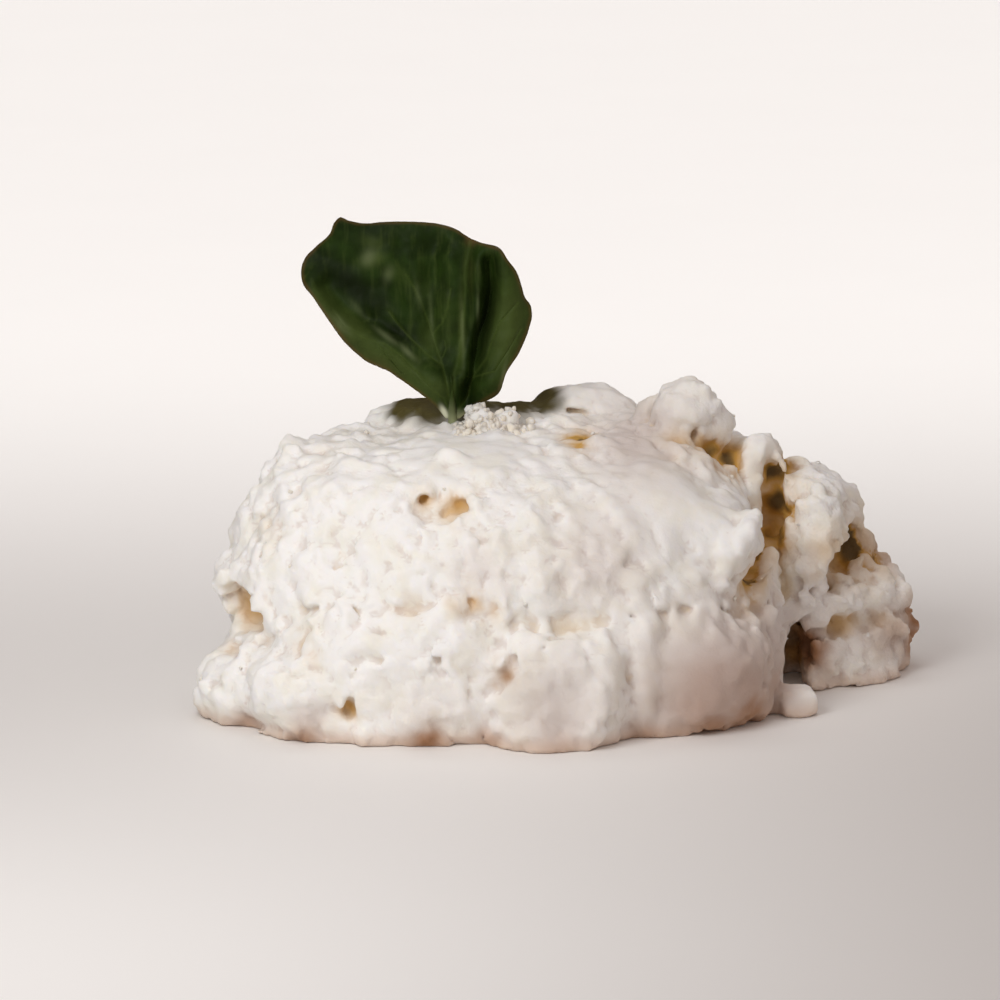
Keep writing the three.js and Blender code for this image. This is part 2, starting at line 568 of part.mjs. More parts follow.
/** Thickens a grid of points both ways along its normals; both faces split into triangles alike. */
function sheetSolid(rows, thickness) {
  const [height, width] = [rows.length, rows[0].length];
  const at = (r, c) => rows[clamp(r, 0, height - 1)][clamp(c, 0, width - 1)];
  const faces = [[], []];
  for (let r = 0; r < height; r++) {
    for (let c = 0; c < width; c++) {
      const along = at(r + 1, c).clone().sub(at(r - 1, c));
      const across = at(r, c + 1).clone().sub(at(r, c - 1));
      const normal = across.cross(along).normalize();
      [1, -1].forEach((side, face) => {
        faces[face].push(...at(r, c).clone().addScaledVector(normal, (side * thickness) / 2).toArray());
      });
    }
  }
  const back = height * width;
  const index = [];
  for (let r = 0; r < height - 1; r++) {
    for (let c = 0; c < width - 1; c++) {
      const [a, b, d, e] = [r * width + c, r * width + c + 1, (r + 1) * width + c + 1, (r + 1) * width + c];
      index.push(a, b, d, a, d, e, back + a, back + d, back + b, back + a, back + e, back + d);
    }
  }
  const rim = [];
  for (let c = 0; c < width - 1; c++) {
    rim.push(c);
  }
  for (let r = 0; r < height - 1; r++) {
    rim.push(r * width + width - 1);
  }
  for (let c = width - 1; c > 0; c--) {
    rim.push((height - 1) * width + c);
  }
  for (let r = height - 1; r > 0; r--) {
    rim.push(r * width);
  }
  rim.forEach((a, i) => {
    const b = rim[(i + 1) % rim.length];
    index.push(a, back + a, back + b, a, back + b, b);
  });
  return solidFrom([...faces[0], ...faces[1]], index);
}

/** The stalk as a round-ended pin; `grow` widens it and `rise` makes it taller. */
function stalkSolid(grow, rise) {
  const from = new THREE.Vector3(...STALK.from);
  const way = new THREE.Vector3(...STALK.to).sub(from);
  const length = way.length() + rise;
  const radius = STALK.radius + grow;
  const profile = [new THREE.Vector2(0, -radius)];
  for (let step = 1; step <= STALK_STEPS; step++) {
    const angle = (step * Math.PI) / (2 * STALK_STEPS);
    profile.push(new THREE.Vector2(radius * Math.sin(angle), -radius * Math.cos(angle)));
  }
  profile.push(new THREE.Vector2(radius, length), new THREE.Vector2(0, length + STALK_TIP * radius));
  const geometry = new THREE.LatheGeometry(profile, STALK_SIDES);
  const upright = new THREE.Vector3(0, 1, 0);
  geometry.applyQuaternion(new THREE.Quaternion().setFromUnitVectors(upright, way.normalize()));
  geometry.translate(from.x, from.y, from.z);
  return solidOf(geometry);
}

// ---------------------------------------------------------------- the two pieces

function ricotta() {
  const table = new THREE.BoxGeometry(TABLE.width, TABLE.width, TABLE.depth);
  table.translate(0, 0, -TABLE.depth / 2);
  const pocket = stalkSolid(GAP, POCKET_RISE).add(bladeSolid(LEAF_THICKNESS + 2 * GAP, GAP));
  const solid = surfaceNets(sampleMound()).subtract(solidOf(table)).subtract(pocket);
  const material = new THREE.MeshStandardMaterial({ color: "#f2ede4", roughness: 0.6, metalness: 0 });
  return meshOf("ricotta", solid, material);
}

function basilLeaf() {
  const solid = bladeSolid(LEAF_THICKNESS, 0).add(stalkSolid(0, 0));
  const material = new THREE.MeshStandardMaterial({ color: "#33461a", roughness: 0.45, metalness: 0 });
  return meshOf("basil_leaf", solid, material);
}

const group = new THREE.Group();
group.name = "ricotta_with_basil";
group.add(ricotta(), basilLeaf());

export default group;
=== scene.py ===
# %% [markdown]
# # A mound of ricotta with a basil leaf
#
# The CAD model gives the size and the place of two things: a hand-shaped mound of fresh cheese, and the
# leaf that stands in its top. This script models both again, finely enough to show the curds, the pits and
# the leaf's veins, then adds loose crumbs, materials, a pale floor, lights and a camera.
#
# A sculpted or scanned mesh couldn't be made again by a script, and a ball with a displacement modifier has
# no overhangs, gorges or crumbling edges. So the mound is made like this:
#
# 1. Rounded solids are written as distances: a number for each point, negative inside.
# 2. Smooth minimums melt them together, and smooth maximums carve the gorge and the pits.
# 3. Noise lifts curds out of that form and sinks pits into it.
# 4. The distances are sampled on a grid, and the surface where they are zero becomes a mesh.
#
# Sizes are in millimetres until a mesh is made, and Blender's objects are in metres.

# %% Load the frame
import time

import bmesh
import bpy
import numpy as np
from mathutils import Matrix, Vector


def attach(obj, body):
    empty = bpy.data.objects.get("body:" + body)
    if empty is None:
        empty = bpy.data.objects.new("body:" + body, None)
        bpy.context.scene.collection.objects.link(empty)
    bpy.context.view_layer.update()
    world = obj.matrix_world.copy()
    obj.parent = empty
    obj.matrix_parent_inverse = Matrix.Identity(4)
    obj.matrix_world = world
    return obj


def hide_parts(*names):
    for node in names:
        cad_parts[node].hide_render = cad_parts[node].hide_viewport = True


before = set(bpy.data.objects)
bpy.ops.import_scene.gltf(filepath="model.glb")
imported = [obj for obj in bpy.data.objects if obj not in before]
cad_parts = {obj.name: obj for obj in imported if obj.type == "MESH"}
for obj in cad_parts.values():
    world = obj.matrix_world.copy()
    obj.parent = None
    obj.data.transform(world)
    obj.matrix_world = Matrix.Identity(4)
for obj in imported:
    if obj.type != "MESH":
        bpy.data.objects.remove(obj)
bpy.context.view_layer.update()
start_time = time.time()
print("CAD nodes:", sorted(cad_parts))

# %% [markdown]
# ## Units and driving sizes
#
# A heap of ricotta of 130 mm by 50 mm serves a few people. `CENTRE`
# is the offset between the numbers below, which were measured from the middle of the show side, and the
# model's own frame, whose origin is the middle of its underside. A half-millimetre grid is the coarsest that
# still shows a curd, and the finest that keeps the mesh under its limit of triangles.

# %% Units and driving sizes
MM = 0.001
CENTRE = np.array((0.78, -1.2, 0.0), np.float32)

STEP = 0.5  # spacing of the fine sampling grid
COARSE_PARTS = 3  # fine steps in each coarse one
BIG_LOW = np.array((-75.0, -63.0, -6.0), np.float32)  # corners of the sampled space
BIG_HIGH = np.array((78.0, 63.0, 66.0), np.float32)
MOUND_TRIANGLES = 190_000

F = np.float32
print("grid from", BIG_LOW, "to", BIG_HIGH, "in steps of", STEP)

# %% [markdown]
# ## Noise
#
# Curd has swells, curds and grains with no pattern in them. Blender's texture nodes could shade such relief
# but not build it, so two kinds of noise are written here, for whole arrays of points at once.
#
# - `wave` is gradient noise. Each corner of a cell gets a random slope, worked out from the corner's whole
#   numbers by `mix_bits`, so the same place always gives the same noise. Inside the cell the eight slopes are
#   blended with the weight 6t⁵ - 15t⁴ + 10t³.
# - `grains` is packed domes, one to a cell, each shifted and lifted at random. It gives the crumbly skin.

# %% Noise
WAVE_GAIN = 1.5  # brings the highest waves to about 0.7
LIFT_STEP = 0.12  # between the four heights that a grain may draw
SHARPNESS = 7  # of the creases between grains


def mix_bits(ix, iy, iz, seed):
    """Scramble cell places and a seed into 32 bits: multiply by large odd numbers, fold high bits down."""
    h = ix.astype(np.uint32) * np.uint32(374761393)
    h ^= iy.astype(np.uint32) * np.uint32(668265263)
    h ^= iz.astype(np.uint32) * np.uint32(2246822519)
    h ^= np.uint32((seed * 3266489917) & 0xFFFFFFFF)
    h ^= h >> np.uint32(15)
    h *= np.uint32(2246822519)
    h ^= h >> np.uint32(13)
    h *= np.uint32(3266489917)
    return h ^ (h >> np.uint32(16))


def pulls(bits):
    """Three numbers from -1 to 1, from ten bits each."""
    tens = [(bits >> np.uint32(10 * axis)) & np.uint32(1023) for axis in range(3)]
    return [ten.astype(F) / F(511.5) - F(1) for ten in tens]


def wave(points, size, seed):
    """Smooth noise of about -0.7 to 0.7 with features about `size` wide: sum of weight * (slope . offset)."""
    at = points / F(size)
    cell = np.floor(at)
    f = (at - cell).astype(F)
    cell = cell.astype(np.int32)
    w = f * f * f * (f * (f * 6 - 15) + 10)
    total = np.zeros(len(points), F)
    for corner in np.ndindex(2, 2, 2):
        weight = 1
        for axis in range(3):
            weight = weight * (w[:, axis] if corner[axis] else 1 - w[:, axis])
        slope = pulls(mix_bits(*(cell[:, axis] + corner[axis] for axis in range(3)), seed))
        total += weight * sum(slope[axis] * (f[:, axis] - corner[axis]) for axis in range(3))
    return total * F(WAVE_GAIN)


def describe(name, values):
    """Print the average, the average size and the spread of some noise."""
    size = np.abs(values).mean()
    print(f"{name}: mean {values.mean():.3f}, mean size {size:.3f}, spread {values.std():.3f}")


sample = np.random.default_rng(1).uniform(-200, 200, (20000, 3)).astype(F)
describe("waves", wave(sample, 5, 3))


# %% Grains
def grains(points, size, seed):
    """Packed grains about `size` apart: ln(sum of exp(k (lift - d²))) / k over the centres nearby.

    Near one centre that is lift - d², a dome, and each centre draws one of four lifts, so that some grains
    stand out. Between centres the domes meet in a soft crease.
    """
    at = points / F(size)
    cell = np.floor(at)
    f = (at - cell).astype(F)
    cell = cell.astype(np.int32)
    total = np.zeros(len(points), F)
    for corner in np.ndindex(3, 3, 3):
        corner = np.array(corner) - 1
        bits = mix_bits(*(cell[:, axis] + corner[axis] for axis in range(3)), seed)
        shift = pulls(bits)
        lift = (bits >> np.uint32(30)).astype(F) * F(LIFT_STEP)
        away = sum((f[:, axis] - corner[axis] - 0.5 - 0.5 * shift[axis]) ** 2 for axis in range(3))
        total += np.exp(SHARPNESS * (lift - away))
    return np.log(total + F(1e-9)) / F(SHARPNESS)


describe("grains", grains(sample, 5, 3))

# %% [markdown]
# ## Rounded solids as distances
#
# The real mound is soft lumps that a spoon has pressed together. Boolean modifiers would leave a sharp seam
# between them, while distances melt together by plain arithmetic.
#
# - `join` is a smooth minimum, min(a, b) - h²k/4 with h = max(k - |a - b|, 0)/k. It melts two solids
#   together over a seam about k wide.
# - `carve` takes one solid out of another in the same way.
# - A lump is a superellipsoid, |x/a|ⁿ + |y/b|ⁿ + |z/c|ⁿ = 1.
# - A rod is a line with a radius that runs evenly from one end's to the other's.

# %% Rounded solids as distances
def join(a, b, blend):
    """Smooth minimum of two distances."""
    h = np.maximum(blend - np.abs(a - b), 0) / F(blend)
    return np.minimum(a, b) - h * h * F(blend / 4)


def carve(a, b, blend):
    """Take solid b out of solid a, with a rounded lip."""
    return -join(-a, b, blend)


class Lump:
    """A superellipsoid: k = (sum |q/size|^n)^(1/n), distance = (k - 1) / |gradient of k|."""

    def __init__(self, at, size, yaw=0, lean=0, n=2.2, blend=2.0):
        self.at = np.array(at, F)
        self.size = np.array(size, F)
        self.yaw, self.lean, self.n, self.blend = np.radians(yaw), np.radians(lean), n, blend

    def distance(self, p):
        """Turned by yaw about z, then by lean about y."""
        q = p - self.at
        x = q[..., 0] * np.cos(self.yaw) + q[..., 1] * np.sin(self.yaw)
        y = -q[..., 0] * np.sin(self.yaw) + q[..., 1] * np.cos(self.yaw)
        z = q[..., 2]
        c, s = np.cos(self.lean), np.sin(self.lean)
        turned = (x * c + z * s, y, -x * s + z * c)
        u = [np.abs(v).astype(F) / self.size[axis] for axis, v in enumerate(turned)]
        k = np.maximum(sum(v ** F(self.n) for v in u), F(1e-9)) ** F(1 / self.n)
        slope = np.sqrt(sum((v ** F(self.n - 1) / self.size[axis]) ** 2 for axis, v in enumerate(u)))
        return (k - 1) / np.maximum(slope * k ** F(1 - self.n), F(1e-6))

    def box(self, margin):
        """Corners of a box that holds all that this solid can change."""
        reach = float(self.size.max()) + self.blend + margin
        return self.at - reach, self.at + reach


test_ball = Lump((0, 0, 0), (10, 10, 10), n=2)
print("5 mm outside a ball the distance is", test_ball.distance(np.array([(15, 0, 0)], F)))


# %% Rods
class Rod:
    """A tapered rod: distance to the line a to b, less the radius there."""

    def __init__(self, a, b, radii, blend):
        self.a, self.b = np.array(a, F), np.array(b, F)
        self.radii, self.blend = radii, blend

    def distance(self, p):
        """Share t along the line from the foot of the point, kept from 0 to 1."""
        line = self.b - self.a
        t = np.clip(((p - self.a) @ line) / (line @ line), 0, 1)
        away = np.linalg.norm(p - self.a - t[..., None] * line, axis=-1)
        return away - self.radii[0] - (self.radii[1] - self.radii[0]) * t

    def box(self, margin):
        """Corners of a box that holds all that this rod can change."""
        reach = max(self.radii) + self.blend + margin
        return np.minimum(self.a, self.b) - reach, np.maximum(self.a, self.b) + reach


test_rod = Rod((0, 0, 0), (10, 0, 0), (2, 2), blend=1)
print("2 mm outside a rod the distance is", test_rod.distance(np.array([(5, 4, 0)], F)))

# %% [markdown]
# ## The mound's forms
#
# The heap is a body with shoulders, a wall and a belly that bulges at its foot, three lobes broken away at
# the right, a lump on top, and a stray curd beside it. The big lumps repeat the CAD model's, so that the two
# agree. The ridges and the cuts are smaller, and sit on the skin, which `on_skin` finds by walking inward.

# %% The mound's forms
BIG_LUMPS = {
    "core": Lump((-9.5, -3, 5), (49.5, 42.5, 42), n=2.8),
    "front_wall": Lump((-25, -28, 9), (24, 20.5, 17), n=3, blend=4),
    "front_toe": Lump((-0.6, -35, 8), (12.8, 16.6, 12.4), n=4, blend=1.6),
    "lower_belly": Lump((17.5, -20, 9), (22.5, 22.6, 12), yaw=-14, n=3, blend=4),
    "left_shoulder": Lump((-38, -8, 32.5), (13.6, 21, 13.2), blend=6),
    "left_wall": Lump((-47, -12, 19), (10.5, 18, 19), n=2.3, blend=5),
    "right_shoulder": Lump((17, 0, 25), (18.5, 25, 22), n=2.3, blend=6),
    "right_face": Lump((20.4, -16.5, 29.5), (12.8, 15.5, 11), yaw=5, lean=-16, n=3.8, blend=3),
    "back_bulk": Lump((5, 20, 13), (45, 30, 27), n=2.3, blend=8),
    "left_foot": Lump((-54, -26, 5.2), (9.9, 12, 8.4)),
    "left_toe": Lump((-44.5, -35.5, 7), (10.4, 12.8, 8.8), blend=1.5),
    "lobe_low": Lump((53.6, 7, 4), (11.2, 15, 13), n=2.4, blend=2),
    "lobe_front": Lump((48.4, 3, 3), (14.6, 11.7, 9), yaw=49.5, n=2.8, blend=1.5),
    "lobe_brow": Lump((50.4, 4, 14.8), (13, 11.9, 4.8), yaw=46, lean=-5, n=2.4, blend=1.5),
    "lobe_high": Lump((45.6, 6, 28.6), (9.8, 11, 9), yaw=-18, n=2.3, blend=2),
    "lobe_slope": Lump((47, -4, 23.5), (5, 8, 12), n=2.2, blend=2),
    "lobe_neck": Lump((53, 9, 20), (5.4, 6, 8), n=2, blend=2),
    "lobe_side": Lump((44.8, -3.5, 16.5), (5.4, 8.5, 8.5), n=2.2, blend=2),
    "saddle": Lump((33, 5, 34.4), (9.5, 12, 7.9), n=2, blend=3),
    "saddle_knob": Lump((36.2, 1, 41.2), (3.4, 5, 3.2), n=2, blend=1.5),
    "top_lump": Lump((23.4, -1, 48), (5.8, 6.4, 5.4), lean=-18, n=2.6, blend=0.8),
    "top_lump_side": Lump((26.4, 0, 46.9), (5.6, 6, 5.6), lean=30, n=2.4, blend=0.8),
    "top_lump_peak": Lump((24.4, -2, 52), (3, 3.4, 3), yaw=20, blend=1),
    "top_knob": Lump((16.8, 3, 48), (2.8, 2.8, 2.8), n=2, blend=1),
    "back_shelf": Lump((4.6, 19, 42.6), (9.6, 8.5, 7.6), lean=8, n=2.6, blend=3),
    "back_ridge": Lump((-15, 14, 42), (20, 9, 6.4), lean=-5, n=2.3, blend=3),
    "crest_left": Lump((-13.9, -3.2, 47.4), (2.2, 2.2, 3.2), n=2.4, blend=1.2),
    "crest_mid": Lump((-11.6, -3, 46.8), (4.4, 2.4, 2.8), yaw=20, lean=10, n=2.4, blend=1.2),
    "crest_right": Lump((-8.7, -2.4, 47.8), (2.2, 2.2, 2.8), yaw=-15, lean=-4, n=2.4, blend=1.2),
    "left_knob": Lump((-46.4, -9, 42.6), (1.9, 3.4, 3.2), lean=12, n=2, blend=1.6),
    "left_bump": Lump((-56.8, -16, 21), (4.4, 7, 5), n=2),
    "skirt_left": Lump((-31, -20, 0), (25, 26.6, 6.5), n=3, blend=2.5),
    "skirt_mid": Lump((-2, -25, 0), (14.5, 27.4, 7), n=2.8, blend=2.5),
    "stray_curd": Lump((43, -27, 2), (3.9, 3.4, 3.5), yaw=12, lean=6, n=3, blend=1.2),
    "stray_link": Lump((39.4, -24.8, 2.6), (4.4, 3.4, 3), yaw=30, n=2.6, blend=1.2),
    "stray_drop": Lump((-32.7, -47.4, 1), (2.6, 2.6, 2.4), n=2, blend=1.2),
}
print("lumps:", len(BIG_LUMPS))


# %% Forms that lie on the skin
def bulk(p):
    """All the lumps melted together, in order."""
    d = None
    for form in BIG_LUMPS.values():
        d = form.distance(p) if d is None else join(d, form.distance(p), form.blend)
    return d


def on_skin(x, z, inward=0.0):
    """The first point of the lumps' skin met along +y at (x, z), moved inward."""
    y = np.arange(BIG_LOW[1], 40, 0.1, dtype=F)
    line = np.stack([np.full_like(y, x), y, np.full_like(y, z)], -1)
    return (x, float(y[np.argmax(bulk(line) < 0)]) + inward, z)


def skin_rod(a, b, radii, blend, inward=0.0):
    """A rod laid on the skin between two (x, z) places."""
    return Rod(on_skin(*a, inward), on_skin(*b, inward), radii, blend)


def scoop(place, size, inward=0.0, **form):
    """A lump-shaped hollow centred on the skin."""
    return Lump(on_skin(*place, inward), size, **form)


RIDGES = {
    "tongue": Lump((30.6, -28.6, 30.6), (2.2, 4.6, 7.4), lean=-38, n=2.2, blend=2.5),
    "left_ridge": skin_rod((7.4, 20), (7, 4), (1.4, 2.0), 3, -0.4),
    "right_ridge": skin_rod((14.6, 19), (14.6, 6), (1, 1.2), 3.5, -0.1),
    "flake": Lump(on_skin(-18.2, 45), (3.1, 1.6, 1.8), lean=-32, n=2.6, blend=0.6),
}

CUTS = {
    "gorge_high": Lump((39.4, -6, 33.4), (2.9, 9, 8.4), lean=-3, n=2.6, blend=0.8),
    "gorge_low": Lump((37, -18, 26.4), (6.4, 11, 3.5), lean=32, n=2.4, blend=0.6),
    "gorge_end": Rod((35.4, -26, 24.4), (32.4, -34, 22.8), (3.3, 2.2), 0.6),
    "gap": Lump((43, -11, 3), (2.7, 12, 9), n=3, blend=0.8),
    "lobe_band": skin_rod((46, 9.6), (60, 11.4), (0.8, 0.9), 1, 0.2),
    "lump_seam_left": skin_rod((17.5, 48.6), (25, 45.6), (0.6, 0.9), 0.8),
    "lump_seam_right": skin_rod((25, 45.6), (32.6, 40.6), (0.9, 1.3), 0.8),
    "belt_far_left": skin_rod((-45, 21.8), (-31, 23.2), (0.5, 0.6), 1.5),
    "belt_left": skin_rod((-31, 23.2), (-13, 24.8), (0.6, 0.8), 1.5),
    "belt_right": skin_rod((0, 21), (22, 22), (0.3, 0.3), 3),
    "belt_far_right": skin_rod((22, 22), (36, 19), (0.2, 0.2), 3),
    "toe_arc_low": skin_rod((-12, 10), (-8, 15.2), (1.3, 1.8), 0.8),
    "toe_arc_high": skin_rod((-8, 15.2), (0.5, 19.4), (1.2, 0.5), 1.5),
    "window_dish": scoop((-19.9, 40.4), (6.2, 2.6, 3.2), -1.3, lean=10, n=2, blend=1),
    "window_left": scoop((-23.4, 40.6), (1.7, 2.8, 1.5), 0.8, lean=25, n=3, blend=0.4),
    "window_right": scoop((-17.8, 38.8), (3.3, 3, 1.4), 1.2, lean=18, n=3, blend=0.4),
    "dimple": scoop((-1.9, 46.2), (1.1, 1.6, 1.6), 0, n=2, blend=0.8),
    "eye": scoop((3.6, 47), (2.6, 3.4, 1.4), 0, yaw=20, lean=-12, n=2, blend=0.6),
    "right_hollow": Lump((54.6, -4, 23.6), (7.4, 11, 4.4), lean=22, n=2.6, blend=0.8),
    "left_hollow": scoop((-55.8, 18.6), (5, 7, 4.6), 0.8, n=3, blend=0.4),
    "left_nook": scoop((-58, 12.6), (3.4, 4, 1.8), 0, n=2, blend=0.8),
    "toe_pit": scoop((-36.3, 6.8), (0.9, 2.4, 2.0), 0.3, n=2, blend=0.8),
    "belt_pit": scoop((-16.4, 24.9), (3.4, 1.2, 1.0), 0, n=2, blend=1),
    "middle_pit": scoop((-33, 15.6), (3, 1.0, 1.2), 0, lean=-14, n=2, blend=1),
}

print("ridges:", len(RIDGES), "cuts and scoops:", len(CUTS))

# %% [markdown]
# ## Curds
#
# The curds are added as a height, because real curds stand out from the mass that they are pressed into. The
# large ones are |noise|, which has soft tops and sharp creases, and the small ones are grains, drawn out a
# little along a slant, as a spoon drags them. `twist` bends the space first, so that no two look alike.
# Inside the smoothed patches, where the spoon has passed, the relief fades. At the broken right end it grows.

# %% Curds
CREASE = 0.14  # rounds the creases between the large curds
MEAN_CURD = 0.23  # the average of |wave|, taken off so that the curds don't swell the mound
MEAN_ROUNDING = 0.04  # the same for what CREASE adds
MEAN_GRAIN = -0.04  # the average of grains

SWELLS = [(17, 1.4, 1), (9, 1.0, 2)]  # size, height, seed of each kind of relief
CURDS = (6.5, 1.9, 3)
PITS = (6, 1.5, 8)
PIT_FROM = 0.42  # only noise above this sinks a pit
KNOBS = (3.9, 0.7, 17)
STREAKS = (4.2, 1.1, 19)
GRAINS = [(3.2, 1.2, 4), (1.7, 1.0, 5)]

BROKEN_X, BROKEN_RISE, BROKEN_EXTRA = 38.0, 6, 0.7  # where the broken end starts, and what it adds
BROAD_ROUGHEST = 1.3  # the broken end's extra is mostly for the grains

SMOOTH_PATCHES = [  # centre, half-widths
    ((22, -43, 13.5), (19, 10, 12.5)),
    ((-0.5, -48, 8), (11, 7, 9)),
    ((20, -30, 39), (16, 17, 13)),
    ((-15, -20, 47), (19, 14, 4)),
    ((5.5, 19, 46), (12, 9, 7)),
    ((43, -27, 2), (6, 6, 4)),
    ((-15, 16, 49), (20, 8, 4)),
    ((55.5, 4, 35.5), (5, 9, 4)),
    ((67, 8, 2), (5, 8, 4)),
]


def roughness(p):
    """1 where the cheese is craggy, falling as 1 - exp(-1.2 r²) to 0 in a smoothed patch.

    The broken right end is craggier still.
    """
    smooth = np.zeros(len(p), F)
    for at, size in SMOOTH_PATCHES:
        q = (p - np.array(at, F)) / np.array(size, F)
        smooth = np.maximum(smooth, np.exp(-(q * q).sum(1) * F(1.2)))
    return (1 - smooth) * (1 + BROKEN_EXTRA * np.clip((p[:, 0] - BROKEN_X) / BROKEN_RISE, 0, 1))


print("smooth patches:", len(SMOOTH_PATCHES))


# %% Relief
def twist(p, size, reach, seed):
    """Shift each point by three noises, so that what is looked up there is bent."""
    return p + np.stack([wave(p, size, seed + axis) for axis in range(3)], 1) * F(reach)


def patchiness(p):
    """How strongly the curds show, from 0.25 to 1.3."""
    return np.clip(0.75 + 0.9 * wave(p, 12, 7), 0.25, 1.3).astype(F)


def broad_relief(p):
    """The swells, the largest curds and the pits: what the CAD model has too.

    curd = height (sqrt(noise² + crease²) - its mean), pit = height max(noise - limit, 0).
    """
    rough = np.minimum(roughness(p), F(BROAD_ROUGHEST))
    q = twist(p, 5, 1.8, 11)
    swell = sum(height * wave(p, size, seed) for size, height, seed in SWELLS)
    size, height, seed = CURDS
    curd = height * (np.sqrt(wave(q, size, seed) ** 2 + CREASE**2) - MEAN_CURD - MEAN_ROUNDING)
    size, height, seed = PITS
    pit = height * np.maximum(wave(q, size, seed) - PIT_FROM, 0)
    size, height, seed = KNOBS
    knobs = height * wave(q, size, seed)
    uneven = (curd * patchiness(p) - pit + knobs) * (0.14 + 0.86 * rough)
    return swell * (0.4 + 0.6 * rough) + uneven + STREAKS[1] * streaks(p)


def slanted(p, across_y, along):
    """Axes turned 30 degrees, so that noise looked up there is stretched along a slant."""
    x = p[:, 0] * F(0.86) + p[:, 2] * F(0.5)
    z = p[:, 2] * F(0.86) - p[:, 0] * F(0.5)
    return np.stack([x, p[:, 1] / F(across_y), z / F(along)], 1)


def streaks(p):
    """Ridges dragged down across the middle: noise stretched along a slanting line, fading out round it."""
    size, _, seed = STREAKS
    ridges = wave(slanted(p, 2, 2.8), size, seed)
    away = (p - np.array((8, -34, 32), F)) / np.array((24, 30, 15), F)
    return ridges * np.exp(-(away * away).sum(1))


def fine_relief(p):
    """Grains of curd, down to what the grid can hold: sum of height * (grains - their mean)."""
    q = slanted(twist(p, 2.6, 0.9, 14), 1, 1.25)
    total = np.zeros(len(p), F)
    for size, height, seed in GRAINS:
        total += height * (grains(q, size, seed) - MEAN_GRAIN)
    return total * (0.12 + 0.88 * roughness(p))


print("grain sizes:", [size for size, _, _ in GRAINS], "mm")


# %% [markdown]
# ## Sampling
#
# The big lumps are slow to work out and smooth, so they are sampled on a coarse grid first, and cubics
# between the planes fill in the fine grid. The small forms are then applied only inside their own boxes,
# and the curds only near the surface. Working everything out on the fine grid would take minutes.

# %% Sampling
def refine(values, axis, parts):
    """Catmull-Rom cubics along one axis: `parts` fine planes for each coarse one."""
    v = np.moveaxis(values, axis, 0)
    a, b, c, d = v[:-3], v[1:-2], v[2:-1], v[3:]
    planes = []
    for part in range(parts):
        t = part / parts
        weights = (-t**3 + 2 * t**2 - t, 3 * t**3 - 5 * t**2 + 2, -3 * t**3 + 4 * t**2 + t, t**3 - t**2)
        planes.append(sum(F(w / 2) * plane for w, plane in zip(weights, (a, b, c, d))))
    return np.moveaxis(np.stack(planes, 1).reshape(-1, *v.shape[1:]), 0, axis)


def grid_points(low, step, counts):
    """The places of a whole grid, as an array of shape counts + (3,)."""
    axes = [low[axis] + F(step) * np.arange(counts[axis], dtype=F) for axis in range(3)]
    return np.stack(np.meshgrid(*axes, indexing="ij"), -1)


def sample_bulk():
    """The big lumps on the fine grid, and that grid's lowest corner."""
    coarse = STEP * COARSE_PARTS
    counts = np.ceil((BIG_HIGH - BIG_LOW) / coarse).astype(int) + 1
    values = bulk(grid_points(BIG_LOW, coarse, counts)).astype(F)
    for axis in range(3):
        values = refine(values, axis, COARSE_PARTS)
    return values, BIG_LOW + F(coarse)


mound_values, mound_low = sample_bulk()
print("fine grid:", mound_values.shape, f"{time.time() - start_time:.0f} s")

# %% Forms and relief on the grid
FORM_MARGIN = 3.0
BROAD_REACH, FINE_REACH = 4.0, 1.8  # how near the surface the relief is worked out


def apply_form(values, low, form, combine):
    """Join or carve one form, touching only the part of the grid that its box covers."""
    box_low, box_high = form.box(FORM_MARGIN)
    first = np.clip(((box_low - low) / STEP).astype(int), 0, values.shape)
    last = np.clip(((box_high - low) / STEP).astype(int) + 2, 0, values.shape)
    window = tuple(slice(a, b) for a, b in zip(first, last))
    places = grid_points(low + first * F(STEP), STEP, last - first)
    values[window] = combine(values[window], form.distance(places), form.blend)


def add_relief(values, low, height_of, reach):
    """Take a relief height off the distances of all points within `reach` of the surface."""
    near = np.abs(values) < reach
    places = (np.argwhere(near) * F(STEP) + low).astype(F)
    values[near] -= height_of(places)
    return len(places)


def add_forms(values, low):
    """Distances for the whole mound, from those of its lumps: small forms, relief and a flat underside."""
    for form in RIDGES.values():
        apply_form(values, low, form, join)
    for form in CUTS.values():
        apply_form(values, low, form, carve)
    count = add_relief(values, low, broad_relief, BROAD_REACH)
    count += add_relief(values, low, fine_relief, FINE_REACH)
    print(f"relief worked out at {count} points")
    heights = low[2] + F(STEP) * np.arange(values.shape[2], dtype=F)
    return np.maximum(values, -heights)


mound_values = add_forms(mound_values, mound_low)
print(f"forms and relief done, {time.time() - start_time:.0f} s")

# %% [markdown]
# ## From distances to a mesh
#
# Metaballs or a Remesh modifier could skin the forms too, but would round off the thin lips and crumbs.
# Surface nets keep them. Each cell that the surface crosses gets one vertex, at the average of the places
# where the surface crosses the cell's edges. Each grid edge that the surface crosses gets one four-sided
# face, which joins the vertices of the four cells round it.

